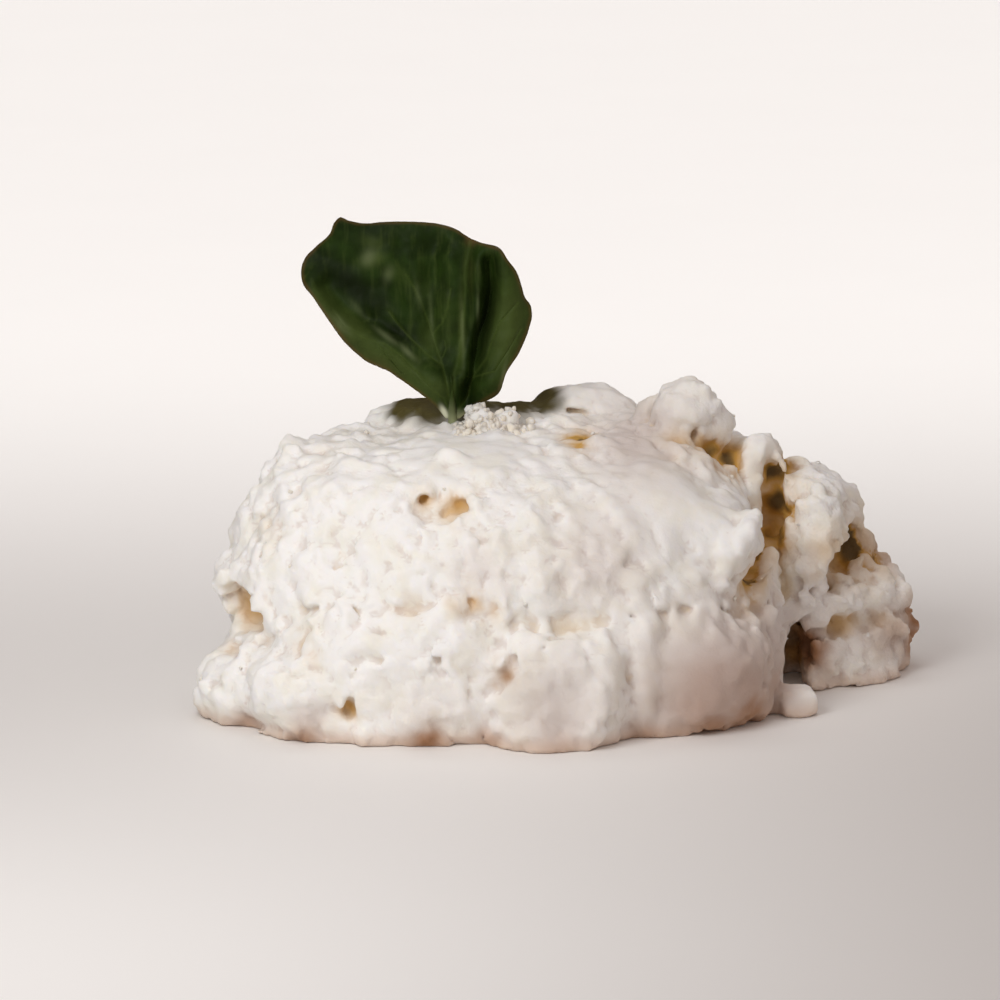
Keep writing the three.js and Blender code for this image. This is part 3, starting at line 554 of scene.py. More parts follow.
# %% From distances to a mesh
def surface_nets(values, low):
    """Vertices in millimetres and four-sided faces, turned outward."""
    inside = values < 0
    size = np.array(values.shape)
    count = sum(
        inside[dx : size[0] - 1 + dx, dy : size[1] - 1 + dy, dz : size[2] - 1 + dz].astype(np.uint8)
        for dx, dy, dz in np.ndindex(2, 2, 2)
    )
    crossed = (count > 0) & (count < 8)
    cells = np.argwhere(crossed)
    number = np.full(crossed.shape, -1, np.int32)
    number[crossed] = np.arange(len(cells), dtype=np.int32)
    total = np.zeros((len(cells), 3), F)
    crossings = np.zeros(len(cells), F)
    for corner in np.ndindex(2, 2, 2):
        for axis in range(3):
            if corner[axis]:
                continue
            other = tuple(1 if k == axis else corner[k] for k in range(3))
            a = values[tuple((cells + corner).T)]
            b = values[tuple((cells + other).T)]
            cross = (a < 0) != (b < 0)
            t = np.where(cross, a / np.where(cross, a - b, 1), 0)
            point = np.tile(np.array(corner, F), (len(cells), 1))
            point[:, axis] += t
            total += point * cross[:, None]
            crossings += cross
    vertices = (cells + total / crossings[:, None]) * F(STEP) + low
    faces = [net_faces(inside, number, axis) for axis in range(3)]
    return vertices, np.concatenate(faces)


def net_faces(inside, number, axis):
    """The faces across the grid edges that run along one axis."""
    u, v = [(1, 2), (2, 0), (0, 1)][axis]
    near = [slice(None)] * 3
    far = [slice(None)] * 3
    near[axis], far[axis] = slice(0, -1), slice(1, None)
    edges = np.argwhere(inside[tuple(near)] != inside[tuple(far)])
    room = (edges[:, u] > 0) & (edges[:, v] > 0)
    edges = edges[room]
    solid_first = inside[tuple(edges.T)]

    def cell(du, dv):
        place = edges.copy()
        place[:, u] -= du
        place[:, v] -= dv
        return number[tuple(place.T)]

    ring = np.stack([cell(1, 1), cell(0, 1), cell(0, 0), cell(1, 0)], 1)
    return np.where(solid_first[:, None], ring, ring[:, ::-1])


net_points, net_rings = surface_nets(mound_values, mound_low)
print("net:", len(net_points), "points,", len(net_rings), "faces")


# %% One solid from the nets
def keep_largest(vertices, faces):
    """Drop loose scraps: spread the lowest vertex number along the faces until nothing changes."""
    label = np.arange(len(vertices))
    while True:
        lowest = label[faces].min(1)
        spread = label.copy()
        for corner in range(4):
            np.minimum.at(spread, faces[:, corner], lowest)
        spread = spread[spread]
        if np.array_equal(spread, label):
            break
        label = spread
    biggest = np.bincount(label).argmax()
    kept = label == biggest
    renumber = np.cumsum(kept) - 1
    print("scraps dropped:", len(np.unique(label)) - 1)
    return vertices[kept], renumber[faces[kept[faces[:, 0]]]]


mound_vertices, mound_faces = keep_largest(net_points, net_rings)
print("surface:", len(mound_vertices), "vertices,", f"{time.time() - start_time:.0f} s")

# %% [markdown]
# ## Mesh helpers
#
# The nets are finer than flat stretches need, so a Decimate modifier thins them out and is applied at once.

# %% Mesh helpers
def make_mesh(name, vertices, faces):
    """A smooth-shaded object from points in millimetres, moved into the model's frame."""
    mesh = bpy.data.meshes.new(name)
    mesh.from_pydata(((vertices - CENTRE) * MM).tolist(), [], faces.tolist())
    mesh.polygons.foreach_set("use_smooth", np.ones(len(mesh.polygons), bool))
    mesh.update()
    piece = bpy.data.objects.new(name, mesh)
    bpy.context.collection.objects.link(piece)
    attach(piece, "root")
    return piece


def thin_out(piece, triangles):
    """Apply a Decimate modifier that leaves about this many triangles, and so merges flat stretches."""
    now = sum(len(face.vertices) - 2 for face in piece.data.polygons)
    modifier = piece.modifiers.new("thin_out", "DECIMATE")
    modifier.ratio = min(triangles / now, 1)
    with bpy.context.temp_override(object=piece, active_object=piece):
        bpy.ops.object.modifier_apply(modifier=modifier.name)
    print(piece.name, "triangles:", now, "->", len(piece.data.polygons))


def vertices_of(piece):
    """A piece's points in the millimetres of the lists above."""
    flat = np.empty(len(piece.data.vertices) * 3, F)
    piece.data.vertices.foreach_get("co", flat)
    return flat.reshape(-1, 3) / F(MM) + CENTRE


def set_attribute(piece, name, values):
    """Store one number for each vertex."""
    attribute = piece.data.attributes.new(name, "FLOAT", "POINT")
    attribute.data.foreach_set("value", np.asarray(values, F))


ricotta = make_mesh("ricotta_curds", mound_vertices, mound_faces)
thin_out(ricotta, MOUND_TRIANGLES)
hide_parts("ricotta")
print(f"mound mesh done, {time.time() - start_time:.0f} s")

# %% [markdown]
# ## Hollows, stains and painted shade
#
# Whey, the yellow liquid left in fresh cheese, gathers in pits and cracks. Shade is painted into the
# colour too: in creases and hollows, in the gorge, on faces turned from the light, as the leaf's shadow on
# the cheese behind it, and at the foot as contact shade with the brown bounce of a table. The material
# needs to know where. A bake of ambient occlusion would tell it, but slowly. Here, how deep in a hollow
# each point lies is the share of cheese in a cube round it: about a half on a flat stretch, more in a pit.
# The running sums of the solid grid give that share for every cube at once. Spots give the whey and the
# painted shade that no hollow explains. All of it is stored on the vertices.

# %% Hollows, stains and painted shade
SMALL_CUBE, LARGE_CUBE = 3, 9  # half-widths in steps of the grid


def box_blur(values, half):
    """The average over a cube of 2 * half + 1 steps, one axis at a time, from running sums."""
    for axis in range(3):
        v = np.moveaxis(values, axis, 0)
        padded = np.concatenate([np.repeat(v[:1], half + 1, 0), v, np.repeat(v[-1:], half, 0)])
        sums = np.cumsum(padded, axis=0, dtype=np.float64)
        blurred = ((sums[2 * half + 1 :] - sums[: -2 * half - 1]) / (2 * half + 1)).astype(F)
        values = np.moveaxis(blurred, 0, axis)
    return values


def look_up(values, low, points):
    """The grid's value at each point, from the nearest grid point."""
    place = np.rint((points - low) / F(STEP)).astype(int)
    place = np.clip(place, 0, np.array(values.shape) - 1)
    return values[tuple(place.T)]


solid_share = (mound_values < 0).astype(F)
points = vertices_of(ricotta)
small_hollow = look_up(box_blur(solid_share, SMALL_CUBE), mound_low, points)
large_hollow = look_up(box_blur(solid_share, LARGE_CUBE), mound_low, points)
print(f"share of cheese round a point: {large_hollow.min():.2f} to {large_hollow.max():.2f}")

# %% Stains and painted shade
STAINS_AND_SHADE = {  # x, y, z, radius, strength of each spot; over 0.9 whey and painted rim shade deepen
    "whey_and_shade": [  # whey in the pits, and painted shade in the gorge, the hollows and the lobes' flanks
        (-23.4, -27, 40.4, 2.2, 1.15), (-17.6, -27, 38.6, 3, 1.15), (3.8, -9.3, 46.4, 2.6, 1.7),
        (22.4, -9, 45, 3, 0.7), (27.4, -4.5, 43, 3.5, 1.3), (31, -1.6, 40.4, 3.4, 1.4),
        (40, 1, 38, 4.2, 1.45), (40.2, 0, 32, 4.2, 1.5), (39.5, -4, 28, 3.6, 1.4), (37, -12, 26, 3.8, 1.4),
        (35, -21.5, 24.6, 4.2, 1.9), (48.8, -6, 26.4, 3.4, 1.9), (54.6, 4, 23.6, 6, 1.6),
        (51, 0, 26, 3.6, 1.3), (58, 6, 22, 4.4, 1.5), (46.8, 0, 34.6, 1.6, 0.8),
        (46.3, -10.9, 21.7, 1.6, 0.7), (51.4, -2, 11.2, 3, 0.8), (44.8, -3, 8.6, 3.4, 0.9),
        (59.6, 0.6, 11.3, 3, 0.5), (44.2, -1.3, 4.3, 4, 1.1), (-54, -17.5, 18.3, 4.6, 0.75),
        (-58.1, -25.7, 12.1, 2, 0.5), (-43.3, -42.9, 15.9, 3.4, 0.3), (-36.3, -43.9, 6, 2, 0.9),
        (-18.2, -45.2, 24.4, 1.8, 0.8), (-15.4, -45.2, 24.6, 1.8, 0.8), (-11, -45, 23.4, 2, 0.5),
        (-26.5, -43.5, 22.5, 3, 0.25), (-9.4, -48.5, 13.4, 2, 0.5), (-50.8, -25.7, 33.1, 3, 0.3),
        (-41.2, -14.9, 44.6, 3, 0.2),
    ],
    "leaf_shadow": [  # painted shadow of the leaf on the cheese behind it, olive with its green
        (-27.4, 12, 48, 4.2, 1), (-23, 12, 49, 6, 1), (-16, 14, 49, 7, 1), (-8, 15, 49, 6, 1),
        (-2.5, 15, 48.5, 4.5, 0.9), (1, 13, 48, 3, 0.4),
    ],
    "painted_shade": [  # painted shade on the belly, the toe and other faces turned from the light
        (29, -40, 7, 13, 1.2), (-1, -50, 7, 10, 0.6), (38, -25, 12, 9, 0.8), (57, -5, 8, 9, 0.3),
        (-22, -47, 3, 9, 0.3), (14, -8, 46, 9, 0.8), (48, -8, 18, 8, 0.3), (7, -41, 31, 9, 0.45),
        (-13.8, -45, 30, 5, 0.4), (-43, -46, 5, 3, 0.6),
    ],
    "rim": [  # painted contact shade and bounce at the foot, painted shade in the gap and the right end
        (34, -35, 2.6, 5, 0.9), (27, -41, 1.4, 4.4, 0.8), (25, -44, 5, 11, 0.4), (34, -37, 8, 8, 0.4),
        (38, -28, 6, 4, 0.6), (15, -43, 1, 3.6, 0.6), (-23, -48.4, 0.6, 3.2, 1), (-12, -48, 0.4, 3, 0.6),
        (-44.7, -46, 0.4, 3.4, 0.8), (-55, -38, 0.6, 3, 0.6), (-9.6, -48.5, 13.2, 1.7, 0.75),
        (67, 8, 10, 5, 1.1), (66, 5, 5, 4, 1), (61.5, 12, 22, 4, 0.7), (45.2, -8.4, 7, 4.2, 1.3),
        (0, -49, 1, 4, 0.3), (61.5, 0, 8, 4.5, 0.6),
    ],
}
SPOT_DEPTH = 0.4  # how much of a distance in y counts, so that a spot reaches deeper than it spreads
WHEY_FROM, WHEY_RISE, WHEY_LEAST = 0.42, 0.14, 0.35  # whey and painted shade are full in hollows, and faint on open faces


def stain_and_shade(points, spots):
    """The strongest of the spots: strength * exp(-(distance / radius)²)."""
    bent = twist(points, 3, 1.2, 21)
    total = np.zeros(len(points), F)
    for *place, radius, strength in spots:
        away = (bent - np.array(place, F)) * np.array((1, SPOT_DEPTH, 1), F) / F(radius)
        total = np.maximum(total, F(strength) * np.exp(-(away**2).sum(1)))
    return total


shares = {name: stain_and_shade(points, spots) for name, spots in STAINS_AND_SHADE.items()}
shares["whey_and_shade"] = shares["whey_and_shade"] * np.clip((large_hollow - WHEY_FROM) / WHEY_RISE, WHEY_LEAST, 1)
shares.update(craggy=roughness(points), small_hollow=small_hollow, large_hollow=large_hollow)
for name, values in shares.items():
    set_attribute(ricotta, name, values)
    print(f"{name}: {values.min():.2f} to {values.max():.2f}, middle {np.median(values):.2f}")
print(f"{time.time() - start_time:.0f} s")

# %% [markdown]
# ## The leaf's outline and folds
#
# A basil leaf is cupped and blistered between its veins, and this one is rolled along its lower left margin
# and folded beside its midrib. A cloth simulation would fold somewhere else, so the folds are listed.
# The blade is drawn in (x, z) by its two margins and the midrib, and its depth y comes from folds, dishes
# and blisters pushed into a leaning plane. Each fold is a bell, depth * exp(-(distance / width)² / 2),
# along a line.

# %% The leaf's outline and folds
LEAF_ROWS = 150
LEAF_COLUMNS = 171
LEAF_THICKNESS = 0.42
LEAF_END = 0.997  # the rows stop just short of the tip, where they would meet in a point
LEAF_ROOT_Y, LEAF_ROOT_Z, LEAF_LEAN = 1.0, 48.0, 0.07
FOLDS_START_Z, FOLDS_FULL_Z = 47.0, 55.0
LOOK_DOWN = 0.23  # the outline was measured looking down by this slope, so what lies deeper lies lower too
LEAF_PLANE_Y = 1.5

MARGIN_LEFT = [
    (-20, 47.6), (-22.1, 50.2), (-24.9, 52.5), (-30.3, 56.3), (-34.7, 58.5), (-37.6, 61.1),
    (-40.7, 65.1), (-43.9, 69.9), (-45.9, 72.9), (-46.3, 75), (-45.7, 77.4), (-43.5, 79.8),
    (-41, 82), (-40.1, 84.1), (-39.1, 84.9), (-37.8, 84.4), (-35.9, 83.8), (-31.6, 84),
    (-26.2, 84), (-21.5, 83.6), (-18.3, 82.6), (-16.1, 81.2), (-15.2, 80.7),
]
MARGIN_RIGHT = [
    (-17.6, 47.6), (-14.9, 49.8), (-10.4, 52.5), (-9.3, 55.6), (-6.9, 59.7), (-5.1, 64.1),
    (-4.5, 66.8), (-4.8, 68.5), (-5.9, 70.1), (-6.4, 71.9), (-7.4, 74.7), (-8.9, 76.7),
    (-10.2, 78.8), (-13.6, 79.9), (-15.2, 80.7),
]
MIDRIB = [(-18.8, 47.6), (-18.7, 53.9), (-17.2, 59.6), (-16.9, 65.9), (-16.1, 75), (-15.2, 80.7)]
print("leaf drawn by", len(MARGIN_LEFT), "points on the left and", len(MARGIN_RIGHT), "on the right")

# %% Folds, dishes and veins
FOLDS = {  # line in (x, z), half-width, depth away from the show side
    "roll_ridge": ([(-44, 72.8), (-42.3, 69.5), (-38.5, 64.8), (-32.2, 62.4), (-28.3, 60.4), (-25.4, 57.8),
                    (-21.1, 53.4)], 2, -3.2),
    "roll_crease": ([(-41.7, 71.9), (-39.2, 67.9), (-36.5, 66.2), (-32.9, 64.8), (-30.2, 63.5), (-27.7, 61.1),
                     (-25, 58)], 1.5, 2),
    "side_vein_valley": ([(-22.6, 79.6), (-22.4, 71.4), (-22.3, 64)], 1.7, 1.5),
    "left_swell": ([(-26.7, 81.4), (-26, 72.3), (-24.6, 65)], 2.6, -1.2),
    "middle_swell": ([(-19.4, 79.6), (-19.4, 71.4), (-19.9, 64)], 1.7, -0.9),
    "rib_bank": ([(-14, 77.2), (-14.2, 69.5), (-15.3, 61.5), (-16.3, 55.8)], 1, -1.6),
    "deep_fold": ([(-12, 76.5), (-11.6, 71.6), (-12.5, 66.8), (-14.2, 62.4), (-14.9, 57.2), (-16.2, 50.4)],
                  0.95, 3.2),
    "right_swell": ([(-9.7, 77.2), (-8.2, 69.5), (-8, 65), (-9.7, 59.4), (-11.8, 53.4)], 3, -3.2),
}
DISHES = {  # centre in (x, z), half-widths, turn in degrees, depth
    "cup": ((-34.3, 71), (13, 7), -38, 5),
    "left_curl": ((-46.2, 76.5), (5.5, 7.5), 0, 4.5),
    "top_curl": ((-24.6, 85.2), (17, 3.2), 0, 2.6),
    "right_edge": ((-3.7, 67.3), (3.2, 7), 0, 1.6),
}
VEINS = {  # line in (x, z), half-width
    "midrib": ([(-15.6, 80.2), (-16.1, 77.7), (-16.4, 75), (-16.7, 70.2), (-17.1, 64.8), (-17.4, 59.7),
                (-18.6, 55.2), (-18.8, 47.7)], 0.5),
    "left_trunk": ([(-18.8, 47.7), (-19.6, 52.5), (-20.6, 57.3), (-21.8, 61), (-22.4, 63.3)], 0.3),
    "left_fork": ([(-22.4, 63.3), (-23.4, 66.1), (-24.4, 68.9), (-25.6, 71.6), (-27.2, 74.3)], 0.22),
    "left_fork_inner": ([(-22.4, 63.3), (-20.6, 65.5), (-19.6, 68.2), (-19.1, 71.6)], 0.22),
    "left_low": ([(-18.8, 47.7), (-20.6, 51.5), (-23.6, 54.2), (-26, 57), (-28.3, 59.3), (-31, 61.4),
                  (-33, 61.9)], 0.26),
    "left_low_side": ([(-32.8, 61.9), (-31.3, 60), (-29.6, 58), (-28.1, 56.3)], 0.2),
    "left_mid": ([(-20.6, 57.3), (-23.6, 59.7), (-26.3, 62.4), (-28.9, 65.5), (-30.3, 67.5)], 0.24),
    "roll_side": ([(-33, 61.9), (-35.6, 62.9), (-38.3, 64.5), (-40.6, 67.5)], 0.22),
    "small_fork": ([(-20.6, 59), (-19.9, 60.7), (-20.1, 62.1)], 0.18),
    "right_trunk": ([(-18.8, 47.7), (-16.1, 51.8), (-15.3, 55.2), (-12.6, 58.7)], 0.3),
    "right_side": ([(-12.6, 58.7), (-11.6, 62.1), (-10.1, 65.5), (-8.4, 67.5), (-7.2, 69)], 0.22),
    "right_margin": ([(-15.3, 55.2), (-11.2, 56.3), (-8.9, 60), (-6.6, 64.1)], 0.22),
}
VEIN_GROOVE = 0.22  # how far a vein lies below the green between
BLISTERS = [(6.5, 0.9, 22), (3.4, 0.6, 21), (1.7, 0.14, 23)]  # size, height, seed
print("folds:", len(FOLDS), "dishes:", len(DISHES), "veins:", len(VEINS))


# %% The blade as a surface of two parameters
def curve_through(points, u):
    """Smooth cubic through points, at shares u from 0 to 1 of the chord length."""
    points = np.array(points, float)
    marks = np.concatenate([[0], np.cumsum(np.hypot(*np.diff(points, axis=0).T))])
    marks /= marks[-1]
    slopes = np.gradient(points, marks, axis=0)
    i = np.clip(np.searchsorted(marks, u, side="right") - 1, 0, len(points) - 2)
    h = (marks[i + 1] - marks[i])[..., None]
    w = (u - marks[i])[..., None] / h
    start = (2 * w**3 - 3 * w**2 + 1) * points[i] + (w**3 - 2 * w**2 + w) * h * slopes[i]
    return start + (3 * w**2 - 2 * w**3) * points[i + 1] + (w**3 - w**2) * h * slopes[i + 1]


def line_distance(x, z, line):
    """Distance in (x, z) from places to a line through points."""
    nearest = np.full(x.shape, 1e9)
    for (ax, az), (bx, bz) in zip(line[:-1], line[1:]):
        dx, dz = bx - ax, bz - az
        k = np.clip(((x - ax) * dx + (z - az) * dz) / (dx**2 + dz**2), 0, 1)
        nearest = np.minimum(nearest, np.hypot(x - ax - k * dx, z - az - k * dz))
    return nearest


def vein_strength(x, z):
    """1 on a vein, falling as exp(-(distance / half-width)²)."""
    lines = [np.exp(-((line_distance(x, z, line) / width) ** 2)) for line, width in VEINS.values()]
    return np.max(lines, axis=0)


def blade_depth(x, z):
    """The blade's y: a leaning plane, plus folds and dishes that fade in above the root."""
    rise = np.clip((z - FOLDS_START_Z) / (FOLDS_FULL_Z - FOLDS_START_Z), 0, 1)
    fade = rise * rise * (3 - 2 * rise)
    push = np.zeros(x.shape)
    for line, width, depth in FOLDS.values():
        push += depth * np.exp(-0.5 * (line_distance(x, z, line) / width) ** 2)
    for (cx, cz), (sx, sz), turn, depth in DISHES.values():
        c, s = np.cos(np.radians(turn)), np.sin(np.radians(turn))
        u, v = ((x - cx) * c + (z - cz) * s) / sx, (-(x - cx) * s + (z - cz) * c) / sz
        push += depth * np.exp(-0.5 * (u * u + v * v))
    flat = np.stack([x, np.zeros_like(x), z], -1).reshape(-1, 3).astype(F)
    push += sum(height * wave(flat, size, seed) for size, height, seed in BLISTERS).reshape(x.shape)
    push += VEIN_GROOVE * vein_strength(x, z)
    return LEAF_ROOT_Y + LEAF_LEAN * (z - LEAF_ROOT_Z) + push * (0.15 + 0.85 * fade)


up = np.linspace(0, LEAF_END, LEAF_ROWS)
across = np.linspace(-1, 1, LEAF_COLUMNS)  # left margin, midrib, right margin
up, across = np.meshgrid(up, across, indexing="ij")
edge = np.where((across < 0)[..., None], curve_through(MARGIN_LEFT, up), curve_through(MARGIN_RIGHT, up))
rib = curve_through(MIDRIB, up)
blade_x, blade_z = np.moveaxis(rib + (edge - rib) * np.abs(across)[..., None], -1, 0)
blade = np.stack([blade_x, blade_depth(blade_x, blade_z), blade_z], -1)
blade[..., 2] -= LOOK_DOWN * (blade[..., 1] - LEAF_PLANE_Y)
print("blade:", blade.shape, "y from", blade[..., 1].min().round(2), "to", blade[..., 1].max().round(2))

# %% [markdown]
# ## The leaf as a thin solid
#
# A Solidify modifier could give the blade its thickness, but splits its four-sided faces as it likes, and
# the two sides may then cross in a fold. Here both sides are the blade moved half a thickness along its
# normals, and both split into triangles alike. The stalk, a juicy round stem, is a lathe: rings of points
# round a line.

# %% The leaf as a thin solid
STALK_FROM, STALK_TO = np.array((-18.4, 2.0, 39.0)), np.array((-18.8, 1.0, 49.0))
STALK_SIDES = 20
STALK_PROFILE = [  # share of the length, radius
    (0, 0.3), (0.02, 0.7), (0.07, 0.95), (0.8, 0.9), (1.0, 0.75), (1.35, 0.4), (1.7, 0.15),
]


def sheet(rows, thickness):
    """Points and triangles of a closed sheet: a grid of points, plus and minus half a thickness * normal."""
    height, width = rows.shape[:2]
    normal = np.cross(np.gradient(rows, axis=1), np.gradient(rows, axis=0))
    normal /= np.maximum(np.linalg.norm(normal, axis=-1, keepdims=True), 1e-9)
    offset = (normal * thickness / 2).reshape(-1, 3)
    front, back = rows.reshape(-1, 3) + offset, rows.reshape(-1, 3) - offset
    n = np.arange(height * width).reshape(height, width)
    a, b, c, d = (part.ravel() for part in (n[:-1, :-1], n[:-1, 1:], n[1:, 1:], n[1:, :-1]))
    split = np.concatenate([np.stack([a, b, c], 1), np.stack([a, c, d], 1)])
    rim = np.concatenate([n[0, :-1], n[:-1, -1], n[-1, :0:-1], n[:0:-1, 0]])
    after = np.roll(rim, -1)
    back_rim, back_after = rim + n.size, after + n.size
    walls = [np.stack([rim, back_rim, back_after], 1), np.stack([rim, back_after, after], 1)]
    return np.concatenate([front, back]), np.concatenate([split, split[:, ::-1] + n.size, *walls])


def pin(start, end, radii, sides):
    """Points and triangles of a closed round pin: at each share of its length, centre + radius * circle."""
    line = (end - start) / np.linalg.norm(end - start)
    across = np.cross(line, (1, 0, 0))
    across /= np.linalg.norm(across)
    other = np.cross(line, across)
    angle = np.linspace(0, 2 * np.pi, sides, endpoint=False)[:, None]
    circle = np.cos(angle) * across + np.sin(angle) * other
    centres = [start + (end - start) * share for share, _ in radii]
    rings = [centre + circle * radius for centre, (_, radius) in zip(centres, radii)]
    points = np.concatenate(rings + [[centres[0], centres[-1]]])
    ring, after = np.arange(sides), np.roll(np.arange(sides), -1)
    faces = []
    for level in range(len(radii) - 1):
        low, high = level * sides, (level + 1) * sides
        faces.append(np.stack([low + ring, low + after, high + after], 1))
        faces.append(np.stack([low + ring, high + after, high + ring], 1))
    last = (len(radii) - 1) * sides
    faces.append(np.stack([after, ring, np.full(sides, len(points) - 2)], 1))
    faces.append(np.stack([last + ring, last + after, np.full(sides, len(points) - 1)], 1))
    return points, np.concatenate(faces)


blade_points, blade_faces = sheet(blade, LEAF_THICKNESS)
stalk_points, stalk_faces = pin(STALK_FROM, STALK_TO, STALK_PROFILE, STALK_SIDES)
leaf_points = np.concatenate([blade_points, stalk_points])
leaf_faces = np.concatenate([blade_faces, stalk_faces + len(blade_points)])
leaf = make_mesh("basil_leaf_blade", leaf_points, leaf_faces)
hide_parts("basil_leaf")
print("leaf triangles:", len(leaf.data.polygons))

# %% [markdown]
# ## Loose crumbs
#
# Rubbed curd sheds grains. A few lie half sunk in the craggy parts, and a small heap of them lies on the
# crest, where the leaf's stalk has pushed the curd up. A particle system would scatter them faster, but they
# must be real mesh. Each is a small ball made uneven: stretched three ways, turned at random, and its points
# pushed in and out by noise. They are all one joined mesh. A seeded generator makes every draw, so the
# crumbs are always the same.

# %% Loose crumbs
CRUMB_COUNT = 36
CRUMB_RADIUS = (0.2, 0.5)
CRUMB_SEED = 12
CRUMB_LOWEST = 3.0  # none below this height, where they would poke under the mound
CRUMB_FACING, CREST_FACING = -0.3, -0.1  # none on skin whose normal points further down
CRUMB_DEEPEST = 0.56  # none where more of the cube round them is cheese, in the hollows
CREST_COUNT = 120
CREST_RADIUS = (0.35, 1.0)
CRUMB_DETAIL = 2  # how finely the ball is split
CRUMB_STRETCH = (0.75, 1.25)
CRUMB_BUMPS = 0.5
CRUMB_RISE = (-0.2, 0.45)  # of a crumb's middle over the skin, in radii
CRUMB_SMALLNESS = 1.8  # above 1, most crumbs are small
CREST_LOW, CREST_HIGH = (-18.5, -8.0, 46.2), (-4.0, 1.0, 60.0)  # the clumps in front of the leaf's stalk


def unit_sphere(detail):
    """Points and triangles of a ball made from a twenty-sided solid."""
    ball = bmesh.new()
    bmesh.ops.create_icosphere(ball, subdivisions=detail, radius=1)
    points = np.array([vertex.co[:] for vertex in ball.verts])
    faces = np.array([[vertex.index for vertex in face.verts] for face in ball.faces])
    ball.free()
    return points, faces


def random_turns(draw, count):
    """Rotation matrices from random unit quaternions (w, x, y, z)."""
    quaternions = draw.normal(size=(4, count))
    w, x, y, z = quaternions / np.linalg.norm(quaternions, axis=0)
    rows = [
        [1 - 2 * (y * y + z * z), 2 * (x * y - z * w), 2 * (x * z + y * w)],
        [2 * (x * y + z * w), 1 - 2 * (x * x + z * z), 2 * (y * z - x * w)],
        [2 * (x * z - y * w), 2 * (y * z + x * w), 1 - 2 * (x * x + y * y)],
    ]
    return np.moveaxis(np.array(rows), 2, 0)


def normals_of(piece):
    """A piece's vertex normals."""
    flat = np.empty(len(piece.data.vertices) * 3, F)
    piece.data.vertex_normals.foreach_get("vector", flat)
    return flat.reshape(-1, 3)


crumb_ball, crumb_triangles = unit_sphere(CRUMB_DETAIL)
print("a crumb has", len(crumb_ball), "points and", len(crumb_triangles), "triangles")


# %% Crumbs on the mound
def scatter_crumbs(points, normals, chance, count, radii, draw):
    """Points and triangles of crumbs on vertices drawn by `chance`.

    With u drawn from 0 to 1, radius = small (large / small)^(u^smallness).
    """
    chosen = draw.choice(len(points), count, replace=False, p=chance / chance.sum())
    small, large = radii
    radius = small * (large / small) ** (draw.random(count) ** CRUMB_SMALLNESS)
    shapes = crumb_ball[None] * draw.uniform(*CRUMB_STRETCH, (count, 1, 3))
    uneven = wave((shapes * 1.3 + np.arange(count)[:, None, None] * 7.3).reshape(-1, 3).astype(F), 1, 41)
    shapes = shapes * (1 + CRUMB_BUMPS * uneven.reshape(count, -1, 1))
    shapes = np.einsum("nij,nkj->nki", random_turns(draw, count), shapes) * radius[:, None, None]
    centres = points[chosen] + normals[chosen] * (radius * draw.uniform(*CRUMB_RISE, count))[:, None]
    shapes += centres[:, None]
    faces = crumb_triangles[None] + (np.arange(count) * len(crumb_ball))[:, None, None]
    return shapes.reshape(-1, 3), faces.reshape(-1, 3)


draw = np.random.default_rng(CRUMB_SEED)
normals = normals_of(ricotta)
craggy = roughness(points) ** 2 * np.clip(0.6 + 1.6 * wave(points, 8, 31), 0, 1.5)
craggy *= (points[:, 2] > CRUMB_LOWEST) & (points[:, 0] < BROKEN_X)
craggy *= (normals[:, 2] > CRUMB_FACING) & (large_hollow < CRUMB_DEEPEST)
on_crest = ((points > CREST_LOW) & (points < CREST_HIGH)).all(1) & (normals[:, 2] > CREST_FACING)
loose_points, loose_faces = scatter_crumbs(points, normals, craggy, CRUMB_COUNT, CRUMB_RADIUS, draw)
crest_points, crest_faces = scatter_crumbs(points, normals, on_crest * 1.0, CREST_COUNT, CREST_RADIUS, draw)
crumb_points = np.concatenate([loose_points, crest_points])
crumb_faces = np.concatenate([loose_faces, crest_faces + len(loose_points)])
crumbs = make_mesh("crumbs", crumb_points, crumb_faces)
print("crumbs:", CRUMB_COUNT, "and", CREST_COUNT, "on the crest, triangles:", len(crumbs.data.polygons))

# %% [markdown]
# ## Material helpers
#
# A material in Blender is a tree of nodes. `add_node` adds one node, sets its properties and feeds its
# inputs. Food isn't one colour but many thin stains over one another, and some layers here paint light and
# shade, so `coat` lays tints over a colour, each through its own share from 0 to 1, by a list that is easy
# to read and to change.

# %% Material helpers
def linear(hex_colour):
    """A #rrggbb colour as linear light and alpha: c / 12.92, or ((c + 0.055) / 1.055)^2.4 over 0.04045."""
    c = np.array([int(hex_colour[i : i + 2], 16) / 255 for i in (1, 3, 5)])
    return (*np.where(c <= 0.04045, c / 12.92, ((c + 0.055) / 1.055) ** 2.4), 1.0)


def add_node(tree, kind, inputs=None, **properties):
    """Add a node. Each of its inputs is fed by another node's output, a plain value or a hex colour."""
    node = tree.nodes.new(kind)
    for name, value in properties.items():
        setattr(node, name, value)
    for name, value in (inputs or {}).items():
        if isinstance(value, bpy.types.NodeSocket):
            tree.links.new(value, node.inputs[name])
        else:
            node.inputs[name].default_value = linear(value) if isinstance(value, str) else value
    return node


SOFT_STEP = {"interpolation_type": "SMOOTHSTEP"}


def limits(low, high, out_low, out_high):
    """Inputs of a Map Range node, which maps low..high to out_low..out_high and holds those ends."""
    return {"From Min": low, "From Max": high, "To Min": out_low, "To Max": out_high}


def coat(tree, colour, shares, layers):
    """Lay tints over a colour: (name of a share, limits of a soft step or None to use it as it is, tint)."""
    for name, steps, tint in layers:
        share = shares[name]
        if steps:
            soft = add_node(tree, "ShaderNodeMapRange", {"Value": share, **limits(*steps)}, **SOFT_STEP)
            share = soft.outputs["Result"]
        mix = add_node(tree, "ShaderNodeMix", {0: share, 6: colour, 7: tint}, data_type="RGBA")
        colour = mix.outputs[2]
    return colour


